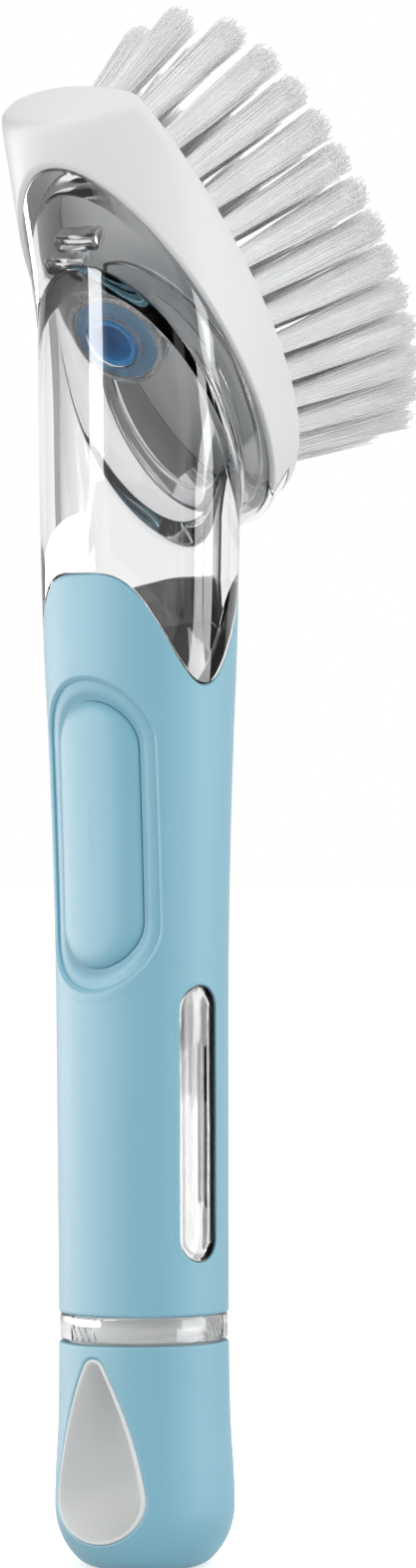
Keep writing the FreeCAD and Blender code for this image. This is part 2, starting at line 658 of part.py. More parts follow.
def brush_parts():
    """White brush shell with its blunt toe, tuft holes, soap holes and latch notch; tufts and anchors."""
    flat = Placement()
    crease = oval("plate_crease", size.plate_half_length, size.plate_half_width, flat, -size.plate_shift)
    front = oval("plate_front", size.plate_half_length, size.plate_half_width, flat, -size.plate_shift,
                 size.plate_lip)
    back = oval("shell_back", size.mouth_half_length + size.shell_rim, size.mouth_half_width + size.shell_rim,
                flat, size.mouth_shift, size.snap_gap - size.mouth_depth)
    bore = [oval(f"socket_{index}", size.mouth_half_length, size.mouth_half_width, flat,
                 size.mouth_shift, rise)
            for index, rise in enumerate((-size.mouth_depth, -size.plate_back))]
    solid = lofted("shell_solid", back, crease, front)

    toe = doc.addObject("Part::Cylinder", "toe_curve")
    middle = size.toe_radius - size.toe_reach
    depth = size.mouth_depth + size.plate_lip
    bind(toe, Radius=size.toe_radius, Height=depth * 2,
         **{"Placement.Base.y": middle, "Placement.Base.z": -depth})
    waste = box("toe_waste", size.toe_radius * 2, size.toe_radius * 2, depth * 2,
                -size.toe_radius, middle - size.toe_radius * 2, -depth)
    toe_cut = boolean("Cut", "toe_cut", waste, toe)

    gap = size.snap_gap * 2
    notch = box("latch_notch", size.latch_width + gap, size.plate_half_length, size.latch_length + gap,
                -(size.latch_width + gap) / 2, size.mouth_half_length - size.latch_thickness,
                -size.mouth_depth)

    middle_tufts, soap_places = middle_places()
    rows = {
        "outer_tufts": ring_places(size.outer_row_half_length, size.outer_row_half_width),
        "inner_tufts": ring_places(size.inner_row_half_length, size.inner_row_half_width),
        "middle_tufts": middle_tufts,
    }
    frames = {name: [tuft_frame(place) for place in places] for name, places in rows.items()}
    every = [frame for row in frames.values() for frame in row]
    hole_depth = size.tuft_hole_depth.number
    hole = Part.makeCylinder(size.tuft_radius.number + size.tuft_play.number, hole_depth * 2,
                             Vector(0, 0, -hole_depth))
    soap_hole = Part.makeCylinder(size.soap_hole_radius.number, depth.number * 2, Vector(0, 0, -depth.number))
    soap_holes = [set_in(soap_hole, Placement(Vector(x, y, 0), Rotation())) for x, y in soap_places]
    holes = group("plate_holes", [set_in(hole, frame) for frame in every] + soap_holes)
    shell = boolean("Cut", "brush", solid, lofted("socket", *bore), toe_cut, notch, holes)

    foot = size.anchor_height.number - hole_depth
    tuft = Part.makeLoft([polygon(size.tuft_radius.number, foot),
                          polygon(size.tuft_tip_radius.number, size.tuft_length.number)], True, True)
    wide = size.anchor_width.number
    thick = size.anchor_thickness.number
    anchor = Part.makeBox(wide, thick, size.anchor_height.number, Vector(-wide / 2, -thick / 2, -hole_depth))
    parts = {name: group(f"{name}_group", [set_in(tuft, frame) for frame in row])
             for name, row in frames.items()}
    parts["tuft_anchors"] = group("anchor_group", [set_in(anchor, frame) for frame in every])
    parts["brush_shell"] = shell
    for item in parts.values():
        item.Placement = head_frame
    return parts


def build():
    """Make every part, check it and write its file."""
    outer = handle_form("handle_outer", measure(0))
    skin = handle_form("handle_skin", size.grip_thickness)
    well_space = well_block("well_space", size.well_wall, start=size.well_reach)
    parts = {
        **grip_and_tube(outer, skin, well_space),
        **button_parts(well_space),
        **cap_parts(),
        **head_carrier(),
        **valve_parts(),
        **brush_parts(),
    }
    for label, item in parts.items():
        item.Label = label
    doc.recompute()
    for item in doc.Objects:
        if "Invalid" in item.State or "Error" in item.State:
            raise RuntimeError(f"{item.Label} could not be made: {item.State}")
    os.makedirs("parts", exist_ok=True)
    for label, item in parts.items():
        if item.Shape.isNull() or not item.Shape.isValid():
            raise RuntimeError(f"{label} is not a sound solid")
        item.Shape.exportStep(f"parts/{label}.step")
        print(label, len(item.Shape.Solids), round(item.Shape.Volume, 1))


build()
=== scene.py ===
# %% [markdown]
# # A dish wand that carries its own soap
# The wand is a clear tube full of soap with a soft grip, a squeeze button, a cap to hang it by and a
# brush on a slanted head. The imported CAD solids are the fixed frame. Most visible pieces are drawn
# again here as smooth surfaces, in the same place, because moulded plastic shows rounded edges.

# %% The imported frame
import math

import bmesh
import bpy
import numpy as np
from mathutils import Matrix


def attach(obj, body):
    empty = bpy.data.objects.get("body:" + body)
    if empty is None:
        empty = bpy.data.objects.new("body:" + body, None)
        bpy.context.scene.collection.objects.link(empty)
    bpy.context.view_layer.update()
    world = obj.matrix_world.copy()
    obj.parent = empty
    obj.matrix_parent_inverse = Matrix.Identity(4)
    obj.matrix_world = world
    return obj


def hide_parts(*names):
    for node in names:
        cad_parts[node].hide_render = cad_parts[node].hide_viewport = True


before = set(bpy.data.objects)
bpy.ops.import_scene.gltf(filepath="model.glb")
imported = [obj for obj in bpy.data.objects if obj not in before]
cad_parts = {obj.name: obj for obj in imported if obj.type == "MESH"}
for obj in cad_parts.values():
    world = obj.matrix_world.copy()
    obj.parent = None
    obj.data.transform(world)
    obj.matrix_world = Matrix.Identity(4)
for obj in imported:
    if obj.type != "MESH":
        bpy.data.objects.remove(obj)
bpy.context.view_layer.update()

# %% [markdown]
# ## From arrays to pieces
# Every surface below is an array of points in millimetres. A grid of points becomes quads by counting
# rows and columns, and the mesh is filled in one go, which is far quicker than adding single faces.

# %% Grids and pieces
def grid_quads(rows, columns, loop_rows=False, loop_columns=False):
    """Corner numbers of a grid's quads: (r, c), (r+1, c), (r+1, c+1), (r, c+1), wrapped where asked."""
    r = np.arange(rows if loop_rows else rows - 1)[:, None]
    c = np.arange(columns if loop_columns else columns - 1)[None, :]
    r_next = (r + 1) % rows
    c_next = (c + 1) % columns
    corners = [r * columns + c, r_next * columns + c, r_next * columns + c_next, r * columns + c_next]
    return np.stack(np.broadcast_arrays(*corners), axis=-1).reshape(-1, 4)


def lay_mesh(name, points, faces):
    """Mesh from points in millimetres, shape (n, 3), and faces of one kind, shape (m, 3) or (m, 4)."""
    mesh = bpy.data.meshes.new(name)
    count, corners = faces.shape
    mesh.vertices.add(len(points))
    mesh.vertices.foreach_set("co", (np.asarray(points) * 0.001).astype(np.float32).ravel())
    mesh.loops.add(count * corners)
    mesh.loops.foreach_set("vertex_index", faces.astype(np.int32).ravel())
    mesh.polygons.add(count)
    mesh.polygons.foreach_set("loop_start", (np.arange(count) * corners).astype(np.int32))
    mesh.update(calc_edges=True)
    mesh.validate()
    return mesh


def place_new(name, data):
    """New object in the scene from a mesh, a camera or a light."""
    thing = bpy.data.objects.new(name, data)
    bpy.context.scene.collection.objects.link(thing)
    return thing


def set_piece(name, mesh, body, finish, slot, stands_for=(), sharp=40.0, weld=True):
    """Weld a mesh's seams and poles, smooth it up to the sharp angle, and let it ride on a CAD body."""
    if weld:
        work = bmesh.new()
        work.from_mesh(mesh)
        bmesh.ops.remove_doubles(work, verts=work.verts, dist=2e-6)
        work.to_mesh(mesh)
        work.free()
    mesh.shade_smooth()
    mesh.set_sharp_from_angle(angle=math.radians(sharp))
    piece = place_new(name, mesh)
    mesh.materials.append(finish)
    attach(piece, body)
    if stands_for:
        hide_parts(*stands_for)
    print(f"{name}: {len(mesh.vertices)} points, {len(mesh.polygons)} faces, rides on {body}")
    return piece


def set_grid(name, grid, body, finish, slot, stands_for=(), loop_rows=True, loop_columns=False, **more):
    """A piece from a grid of points, shape (rows, columns, 3)."""
    rows, columns = grid.shape[:2]
    mesh = lay_mesh(name, grid.reshape(-1, 3), grid_quads(rows, columns, loop_rows, loop_columns))
    return set_piece(name, mesh, body, finish, slot, stands_for, **more)


# %% [markdown]
# ## Rounded corners and turned shapes
# A sharp corner looks wrong on moulded plastic. The rounding below swaps a corner for a short curve, on
# a flat profile or on a whole stack of rings at once. A turned shape is a profile carried round an axis.

# %% Profiles
def rounded(corners, reach, steps=5, closed=True):
    """Each corner P along the first axis becomes (1-t)^2 A + 2t(1-t) P + t^2 B, with A and B at most
    reach away on the lines to its neighbours; the ends of an open profile stay."""
    corners = np.asarray(corners, float)
    back = np.roll(corners, 1, axis=0) - corners
    on = np.roll(corners, -1, axis=0) - corners
    back_length = np.linalg.norm(back, axis=-1, keepdims=True) + 1e-9
    on_length = np.linalg.norm(on, axis=-1, keepdims=True) + 1e-9
    reach = np.reshape(np.broadcast_to(reach, len(corners)), (-1,) + (1,) * (corners.ndim - 1))
    start = corners + back / back_length * np.minimum(reach, back_length * 0.45)
    end = corners + on / on_length * np.minimum(reach, on_length * 0.45)
    t = np.linspace(0, 1, steps).reshape((1, -1) + (1,) * (corners.ndim - 1))
    curve = (1 - t) ** 2 * start[:, None] + 2 * t * (1 - t) * corners[:, None] + t ** 2 * end[:, None]
    if closed:
        return curve.reshape((-1,) + corners.shape[1:])
    middle = curve[1:-1].reshape((-1,) + corners.shape[1:])
    return np.concatenate([corners[:1], middle, corners[-1:]])


def ring_grid(rings, reach, steps, closed=True):
    """A stack of rings with rounded edges as a grid: rows run round the rings, columns from ring to ring."""
    return np.moveaxis(rounded(np.stack(rings), reach, steps, closed), 0, 1)


def about_axis(radius, turn, height):
    """Points about the Z axis, with the turn a counted from the front: (r sin a, -r cos a, height)."""
    return np.stack(np.broadcast_arrays(radius * np.sin(turn), -radius * np.cos(turn), height), axis=-1)


def turned(profile, sides=144):
    """Profile of radii and heights carried round the Z axis, shape (sides, n, 3)."""
    radius, height = np.asarray(profile, float).T
    return about_axis(radius, np.linspace(0, 2 * np.pi, sides, endpoint=False)[:, None], height)


class Tilt:
    """Frame tilted about X: its Z axis rises by the given angle towards +Y, its Y axis runs to the heel."""

    def __init__(self, rise, forward, height):
        up, flat = math.sin(math.radians(rise)), math.cos(math.radians(rise))
        self.axes = np.array([[1, 0, 0], [0, up, -flat], [0, flat, up]])
        self.origin = np.array([0, forward, height])

    def __call__(self, points):
        """Local points into the wand's frame: origin + x X + y Y + z Z."""
        return np.asarray(points) @ self.axes + self.origin


WALL_RISE, WALL_HEIGHT = 36.0, 207.0
end_wall = Tilt(WALL_RISE, 0.0, WALL_HEIGHT)
brush_face = Tilt(42.5, 6.3, 229.7)
print("brush faces", np.round(brush_face.axes[2], 3).tolist())

# %% [markdown]
# ## Finishes
# Four plastics make most of the wand: a soft-touch blue, a crystal-clear one, a satin white and the
# nylon of the bristles. Each gets its grain from noise on Object coordinates, in metres, so a scale of
# 2500 is a grain of 0.4 mm. The noise moves roughness, bump and a little of the colour. The clear one
# also gets painted shade where its wall is seen edge-on, so that its outline shows on white.

# %% A finish with grain
def set_values(node, **values):
    """Set a node's inputs by name; an underscore stands for a space."""
    for socket, value in values.items():
        node.inputs[socket.replace("_", " ")].default_value = value
    return node


def grained(name, colour, roughness, grain, bump, drift=0.04, **sockets):
    """Principled finish: fine noise lifts the surface and shifts roughness, slow noise drifts the colour."""
    finish = bpy.data.materials.new(name)
    finish.use_nodes = True
    nodes, link = finish.node_tree.nodes, finish.node_tree.links.new
    shader = set_values(nodes["Principled BSDF"], **sockets)
    place = nodes.new("ShaderNodeTexCoord")
    fine = set_values(nodes.new("ShaderNodeTexNoise"), Scale=grain, Detail=3.0)
    slow = set_values(nodes.new("ShaderNodeTexNoise"), Scale=38.0, Detail=2.0)
    for noise in (fine, slow):
        link(place.outputs["Object"], noise.inputs["Vector"])
    tone = nodes.new("ShaderNodeValToRGB")
    low, high = tone.color_ramp.elements
    low.position, high.position = 0.3, 0.7
    low.color = [c * (1 - drift) for c in colour] + [1]
    high.color = [min(1, c * (1 + drift)) for c in colour] + [1]
    link(slow.outputs["Fac"], tone.inputs["Fac"])
    link(tone.outputs["Color"], shader.inputs["Base Color"])
    spread = set_values(nodes.new("ShaderNodeMapRange"), To_Min=roughness * 0.85, To_Max=roughness * 1.15)
    link(fine.outputs["Fac"], spread.inputs["Value"])
    link(spread.outputs["Result"], shader.inputs["Roughness"])
    lift = set_values(nodes.new("ShaderNodeBump"), Strength=bump, Distance=0.00005)
    link(fine.outputs["Fac"], lift.inputs["Height"])
    link(lift.outputs["Normal"], shader.inputs["Normal"])
    return finish


def shade_edges(finish, edge):
    """Painted shade on a clear finish where its wall is seen edge-on: its tone times a ramp over the facing
    that Layer Weight gives."""
    nodes, link = finish.node_tree.nodes, finish.node_tree.links.new
    tint = nodes["Principled BSDF"].inputs["Base Color"]
    tone = tint.links[0].from_socket
    facing = set_values(nodes.new("ShaderNodeLayerWeight"), Blend=0.5)
    ramp = nodes.new("ShaderNodeValToRGB")
    flat, rim = ramp.color_ramp.elements
    flat.position, rim.position = 0.5, 0.95
    flat.color, rim.color = (1, 1, 1, 1), (*edge, 1)
    link(facing.outputs["Facing"], ramp.inputs["Fac"])
    product = nodes.new("ShaderNodeVectorMath")
    product.operation = "MULTIPLY"
    link(tone, product.inputs[0])
    link(ramp.outputs["Color"], product.inputs[1])
    link(product.outputs[0], tint)


soft_blue = grained("soft_touch_blue", (0.20, 0.485, 0.615), 0.6, 2600, 0.30, 0.02, Specular_IOR_Level=0.9,
                    Sheen_Weight=0.3, Sheen_Roughness=0.4)
hard_blue = grained("moulded_blue", (0.16, 0.40, 0.52), 0.38, 1800, 0.2)
satin_white = grained("satin_white", (0.84, 0.85, 0.85), 0.5, 1500, 0.16, 0.012, Specular_IOR_Level=0.35)
clear = grained("clear_plastic", (0.94, 0.943, 0.946), 0.012, 220, 0.04, 0.004,
                Transmission_Weight=1.0, IOR=1.47)
clear_thick = grained("clear_thick", (0.80, 0.805, 0.82), 0.012, 220, 0.04, 0.004,
                      Transmission_Weight=1.0, IOR=1.47)
# Painted shade on the clear finishes where their walls are seen edge-on.
for finish in (clear, clear_thick):
    shade_edges(finish, (0.60, 0.61, 0.64))
valve_blue = grained("valve_blue", (0.0, 0.27, 0.66), 0.12, 900, 0.1, 0.1,
                     Transmission_Weight=0.35, IOR=1.41)
valve_pale = grained("valve_pale", (0.10, 0.46, 0.82), 0.12, 900, 0.1, 0.08,
                     Transmission_Weight=0.4, IOR=1.41)
# Painted shade: the grip's inner face is the grip's own blue, painted near black for the shade seen inside the
# window and the scoop.
grip_inside_painted_shade = grained("grip_inside_painted_shade", (0.035, 0.031, 0.030), 0.16, 400, 0.08, 0.15)
rubber = grained("seal_rubber", (0.72, 0.74, 0.75), 0.55, 1400, 0.3)
anchor_metal = grained("anchor_metal", (0.60, 0.60, 0.60), 0.3, 3000, 0.2, 0.06, Metallic=1.0)
print("finishes:", sorted(m.name for m in bpy.data.materials))

# %% [markdown]
# ## The handle's form
# One radius law serves the grip, the tube, the button and the window: straight in the lower half, then a
# flare. The grip's upper edge dips at the sides, where the clear tube shows lower down.

# %% Radius and edge laws
def handle_radius(z):
    """Straight line to z = 95, then two parabolas that meet with equal slope, and 18.1 above z = 205."""
    z = np.asarray(z, float)
    slope = 0.2 / 49.6
    bend = (1.55 - slope * 61) / 61 ** 2
    slope_up = slope + 2 * bend * 61
    bend_up = (1.15 - slope_up * 49) / 49 ** 2
    low = 15.2 + slope * (z - 45.4)
    middle = 15.4 + slope * (z - 95) + bend * (z - 95) ** 2
    high = 16.95 + slope_up * (z - 156) + bend_up * (z - 156) ** 2
    return np.where(z < 95, low, np.where(z < 156, middle, np.where(z < 205, high, 18.1)))


SCOOP_TURN = 79.3


def grip_edge(turn):
    """Height of the grip's upper edge: 177 less 19.7 cos^3.7. The cosine is 1 at the scoop's turn from the
    button on either side, close to the window's turn, and 0 as far again on both sides of that."""
    swing = np.abs((np.asarray(turn) + np.pi) % (2 * np.pi) - np.pi)
    away = np.minimum(np.abs(np.degrees(swing) - SCOOP_TURN) / SCOOP_TURN, 1.0)
    return 177.0 - 19.7 * np.maximum(np.cos(away * np.pi / 2), 0) ** 3.7


def wall_height(y):
    """Height of the slanted end wall's lower face: 207 less 1.376 y."""
    return WALL_HEIGHT - y / math.tan(math.radians(WALL_RISE))


print("radii:", np.round(handle_radius([45.4, 95, 156, 205]), 2).tolist())

# %% [markdown]
# ## Openings in a curved sheet
# The grip has a button recess and a window, and the cap a hang hole. A sheet is a grid of two
# parameters. Where a grid line crosses an opening's outline, the nearer grid point is moved on to the
# outline, and the faces inside are dropped, so the edge comes out smooth.

# %% Sheets with openings
def opened_sheet(rows, columns, place, gap):
    """Points and faces of a sheet, closed along its rows. gap gives the distance outside the opening for
    points of the sheet; a crossing point moves by -gap * gradient / |gradient|^2 in the two parameters."""
    u, v = np.meshgrid(np.arange(rows, dtype=float), np.arange(columns, dtype=float), indexing="ij")
    side = gap(place(u, v))
    move = np.zeros(u.shape, bool)
    for axis in (0, 1):
        near = np.roll(side, -1, axis)
        cross = side * near < 0
        if axis == 1:
            cross[:, -1] = False
        here = np.abs(side) <= np.abs(near)
        move |= cross & here
        move |= np.roll(cross & ~here, 1, axis)
    for _ in range(3):
        now = gap(place(u, v))
        step = 0.02
        du = (gap(place(u + step, v)) - gap(place(u - step, v))) / (2 * step)
        dv = (gap(place(u, v + step)) - gap(place(u, v - step))) / (2 * step)
        scale = np.where(move, now / (du ** 2 + dv ** 2 + 1e-9), 0)
        u -= scale * du
        v -= scale * dv
    sign = np.where(move, 0, np.sign(side)).ravel()
    quads = grid_quads(rows, columns, True, False)
    a, b, c, d = sign[quads].T
    other = (a * c < 0) & (b == 0) & (d == 0)
    first = np.where(other[:, None], quads[:, [0, 1, 3]], quads[:, [0, 1, 2]])
    second = np.where(other[:, None], quads[:, [1, 2, 3]], quads[:, [0, 2, 3]])
    faces = np.concatenate([first, second])
    points = place(u, v).reshape(-1, 3)
    inside = gap(points[faces].mean(axis=1)) < 0
    keep = (sign[faces].min(axis=1) >= 0) & ~((sign[faces].max(axis=1) == 0) & inside)
    used, faces = np.unique(faces[keep], return_inverse=True)
    return points[used], faces.reshape(-1, 3)


def bulge(low, low_radius, high, high_radius, side):
    """Two circles on an upright line, joined by arcs of a large radius that touch both: how far across and
    how high such an arc's centre lies, and the angles at which it touches."""
    span = high - low
    to_low, to_high = side - low_radius, side - high_radius
    lift = (span ** 2 + to_low ** 2 - to_high ** 2) / (2 * span)
    across = math.sqrt(to_low ** 2 - lift ** 2)
    return across, low + lift, math.atan2(-lift, across), math.atan2(span - lift, across)


def drop(low, low_radius, high, high_radius, side=1e5):
    """Outline of those circles and arcs: centre, radius and outward normal of each point, so that an
    outline widened by w is centre + (radius + w) * normal."""
    across, middle, first, last = bulge(low, low_radius, high, high_radius, side)
    arcs = [(-across, middle, side, first, last, 24), (0, high, high_radius, last, math.pi - last, 36),
            (across, middle, side, math.pi - last, math.pi - first, 24),
            (0, low, low_radius, math.pi - first, 2 * math.pi + first, 48)]
    angle = np.concatenate([np.linspace(a, b, n, endpoint=False) for *_, a, b, n in arcs])
    x, z, radius = (np.concatenate([np.full(arc[5], arc[k], float) for arc in arcs]) for k in range(3))
    return np.stack([x, z], axis=-1), radius[:, None], np.stack([np.cos(angle), np.sin(angle)], axis=-1)


def on_skin(spots, sink, radius_law, turn=0.0):
    """Points (x, z) laid on a round body, sink deep: m = sqrt((radius - sink)^2 - x^2) along the turned
    front direction."""
    x, z = spots[..., 0], spots[..., 1]
    m = np.sqrt(np.maximum((radius_law(z) - sink) ** 2 - x ** 2, 0))
    s, c = math.sin(turn), math.cos(turn)
    return np.stack([x * c + m * s, x * s - m * c, z], axis=-1)


def drop_gap(x, z, low, low_radius, high, high_radius, side=1e5):
    """Signed distance outside such an outline: to its side where the arc's angle fits, else to an end."""
    across, middle, first, last = bulge(low, low_radius, high, high_radius, side)
    x = np.abs(x)
    angle = np.arctan2(z - middle, x + across)
    ends = np.where(angle < first, np.hypot(x, z - low) - low_radius, np.hypot(x, z - high) - high_radius)
    beside = (angle >= first) & (angle <= last)
    return np.where(beside, np.hypot(x + across, z - middle) - side, ends)


# %% [markdown]
# ## The soft grip
# The grip is a rubber-like skin over the tube, with a rounded upper and lower edge. The recess and the
# window are framed by narrow rings of their own, whose rows follow the outline, so that the highlights
# on those edges run clean.

# %% Grip skin
BUTTON = (114.8, 11.0, 146.8, 11.0)
PAD = (115.5, 8.4, 146.1, 8.4)
WINDOW = (59.2, 4.2, 99.8, 4.2)
WINDOW_TURN = math.radians(79.0)
GRIP_FOOT = 45.4

quarter = np.linspace(0, np.pi / 2, 6)
lip_shift = 0.5 - 0.5 * np.sin(quarter)
lip_sink = 0.5 - 0.5 * np.cos(quarter)
main_rise = np.linspace(0, 1, 296)
share = np.concatenate([np.zeros(7), main_rise, np.ones(7)])
shift = np.concatenate([[0.0], lip_shift[::-1], 0.5 - main_rise, -lip_shift, [0.0]])
sink = np.concatenate([[1.6], lip_sink[::-1], 0 * main_rise, lip_sink, [1.6]])
GRIP_ROWS = 250


def grip_place(u, v):
    """Row u is a turn about the handle. Column v gives the height, foot + share * (edge - foot) + shift,
    and how far the rounded lips sink below the handle's radius."""
    turn = u * (2 * np.pi / GRIP_ROWS)
    knots = np.arange(len(share))
    z = GRIP_FOOT + (grip_edge(turn) - GRIP_FOOT) * np.interp(v, knots, share) + np.interp(v, knots, shift)
    r = handle_radius(z) - np.interp(v, knots, sink)
    return about_axis(r, turn, z)


def grip_gap(points):
    """Distance outside the widened recess and window, whichever is nearer."""
    x, y, z = np.moveaxis(points, -1, 0)
    across = x * math.cos(WINDOW_TURN) + y * math.sin(WINDOW_TURN)
    ahead = x * math.sin(WINDOW_TURN) - y * math.cos(WINDOW_TURN)
    recess = np.where(y < 0, drop_gap(x, z, *BUTTON) - 3.0, 9.0)
    window = np.where(ahead > 0, drop_gap(across, z, *WINDOW) - 1.2, 9.0)
    return np.minimum(recess, window)


points, faces = opened_sheet(GRIP_ROWS, len(share), grip_place, grip_gap)
set_piece("grip", lay_mesh("grip", points, faces), "handle", soft_blue, "soft_blue", ["grip_sleeve"])

# %% Rings round the recess and the window
def framed(outline, widths, sinks, radius_law, turn=0.0):
    """Ring of points round an outline: each column is the outline widened by a width and sunk by a depth."""
    centre, radius, normal = outline
    widths, sinks = np.asarray(widths)[None, :, None], np.asarray(sinks)[None, :]
    spots = centre[:, None] + (radius[:, None] + widths) * normal[:, None]
    return on_skin(spots, sinks, radius_law, turn)


recess_rim = framed(drop(*BUTTON), [3.25, 3.0, 1.9, 1.3, 1.18, 1.06, 0.6, 0.5, 0.42, 0.37, 0.35],
                    [0.05, 0.0, 0.0, 0.0, 0.02, 0.07, 0.38, 0.47, 0.58, 0.71, 0.85], handle_radius)
outer, inner = drop(*BUTTON), drop(*PAD)
ledge_share = np.array([0.1, 0.3, 0.5, 0.64, 0.76, 0.88, 1.0, 1.0, 1.0])[None, :, None]
ledge_sink = np.array([0.95, 1.08, 1.25, 1.48, 1.75, 2.0, 2.15, 2.6, 4.4])[None, :]
edge_spots = outer[0] + (outer[1] + 0.35) * outer[2]
pad_spots = inner[0] + (inner[1] + 0.08) * inner[2]
ledge_spots = edge_spots[:, None] * (1 - ledge_share) + pad_spots[:, None] * ledge_share
recess = np.concatenate([recess_rim, on_skin(ledge_spots, ledge_sink, handle_radius)], axis=1)
set_grid("recess_ledge", recess, "handle", soft_blue, "soft_blue")
window_rim = framed(drop(*WINDOW), [1.45, 1.2, 0.6, 0.3, 0.2, 0.13, 0.1, 0.1],
                    [0.05, 0.0, 0.0, 0.0, 0.03, 0.1, 0.3, 1.66], handle_radius, WINDOW_TURN)
set_grid("window_frame", window_rim, "handle", soft_blue, "soft_blue")

# %% [markdown]
# ## The button pad
# The pad is a soft lozenge, nearly flush with the grip. Its rings run from its underside round the edge
# and in to its middle line, where they close.

# %% Button pad
pad_in = [-8.4, -4.0, 0.0, 0.0, -0.06, -0.2, -0.45, -0.8, -1.25, -1.8, -2.45, -3.2, -4.4, -6.2, -8.4]
pad_down = [2.1, 2.1, 2.1, 2.0, 1.75, 1.45, 1.15, 0.88, 0.66, 0.49, 0.38, 0.32, 0.30, 0.30, 0.30]
set_grid("button_pad_soft", framed(drop(*PAD), pad_in, pad_down, handle_radius), "button", soft_blue,
         "soft_blue", ["button_pad"])

# %% [markdown]
# ## The clear tube and its window
# The tube is one thick-walled moulding: a collar at the foot, a waist under the grip, and the full
# radius above the grip's edge up to the slanted end wall. Light has to enter and leave it, so it is a
# closed wall with an inside and an outside. The window's pane is a thick place in the same wall.

# %% Reservoir tube
turn = np.linspace(0, 2 * np.pi, 264, endpoint=False)


def tube_ring(radius, height):
    """One ring of the tube: radius and height may vary with the turn."""
    return about_axis(radius, turn, height)


def wall_ring(inset):
    """Ring where the tube, inset from the handle's radius, meets the end wall: found by six rounds of
    height = wall(y), y = -radius(height) cos turn."""
    height = np.full(turn.shape, WALL_HEIGHT)
    for _ in range(6):
        height = wall_height(-(handle_radius(height) - inset) * np.cos(turn)) - 0.02
    return tube_ring(handle_radius(height) - inset, height)


SKIN, WAIST, BORE = 0.02, 1.75, 3.7
edge = grip_edge(turn) + 0.05
skirt = edge - 8.0
top_out, top_in = wall_ring(SKIN), wall_ring(BORE)
rings = [tube_ring(handle_radius(skirt) - WAIST, skirt), tube_ring(handle_radius(edge) - WAIST, edge),
         tube_ring(handle_radius(edge) - SKIN, edge)]
for part in (0.25, 0.5, 0.75):
    height = edge * (1 - part) + top_out[:, 2] * part
    rings.append(tube_ring(handle_radius(height) - SKIN, height))
rings += [top_out, top_in]
for part in (0.33, 0.67, 1.0):
    height = top_in[:, 2] * (1 - part) + skirt * part
    rings.append(tube_ring(handle_radius(height) - BORE, height))
reach = [0.3, 0.3, 0.4, 0, 0, 0, 0.9, 0.5, 0, 0, 0.3]
set_grid("clear_tube", ring_grid(rings, reach, 5), "handle", clear, "clear", ["reservoir_tube"],
         loop_columns=True)

# %% Collar with its lugs
lug = np.clip(4 * np.cos(3 * turn - math.radians(310)) - 2.6, 0, 1)


def lug_ring(height):
    """Ring of the collar's inner face, 12 mm, with ribbed lugs at three places: 0.35 + 0.35 sin(52 turn)."""
    return tube_ring(12.0 + lug * (0.35 + 0.35 * np.sin(52 * turn + 2.2 * height)), height)


rings = [tube_ring(15.0, 40.8), tube_ring(15.0, 45.35), tube_ring(13.42, 45.35)]
inner_steps = ((60.0, WAIST), (103.6, WAIST), (103.6, BORE))
rings += [tube_ring(handle_radius(height) - inset, height) for height, inset in inner_steps]
rings += [tube_ring(11.52, 52.5), tube_ring(12.0, 52.5), tube_ring(12.0, 45.6)]
rings += [lug_ring(h) for h in (45.2, 44.5, 43.8, 43.1, 42.4, 41.7, 41.2)] + [tube_ring(12.0, 40.8)]
reach = [0.5, 0.5, 0.2, 0, 0.3, 0.3] + [0.2] * 11
set_grid("clear_collar", ring_grid(rings, reach, 4), "handle", clear, "clear", loop_columns=True)

# %% Sight pane and the grip's inside, painted dark as shade
pane_in = [-4.2, -2.0, 0.0, 0.0, -0.05, -0.2, -0.5, -2.0, -4.2]
pane_down = [1.7, 1.7, 1.7, 0.5, 0.25, 0.1, 0.05, 0.05, 0.05]
set_grid("sight_pane", framed(drop(*WINDOW), pane_in, pane_down, handle_radius, WINDOW_TURN), "handle",
         clear, "clear")


def lining_place(u, v):
    """The grip's inner face, which looks at the tube: the grip's heights, 1.68 inside the handle's radius."""
    turn = u * (-2 * np.pi / 128)
    z = 45.6 + (grip_edge(turn) - 0.15 - 45.6) * (v / 80)
    r = handle_radius(z) - 1.68
    return about_axis(r, turn, z)


def lining_gap(points):
    """Distance outside the recess and the window."""
    return grip_gap(points) + np.where(points[..., 1] < -9, 2.0, 1.0)


# The grip's inner face gets the near-black painted shade, not the grip's own blue.
points, faces = opened_sheet(128, 81, lining_place, lining_gap)
set_piece("grip_inner_shade", lay_mesh("grip_inner_shade", points, faces), "handle", grip_inside_painted_shade, "soft_blue")

# %% [markdown]
# ## The clear head carrier
# Above the tube a clear carrier opens from the slanted wall to the oval mouth that takes the brush. It is
# a stack of oval rings: out along the wall, up the outside, over the rim and down the inside.

# %% Head carrier
oval_turn = np.linspace(0, 2 * np.pi, 192, endpoint=False)


def oval(half_length, half_width, shift, rise):
    """Local ring (-w sin a, shift + l cos a, rise), which starts at the heel."""
    x, y = -half_width * np.sin(oval_turn), shift + half_length * np.cos(oval_turn)
    return np.stack([x, y, np.full(x.shape, rise)], axis=-1)


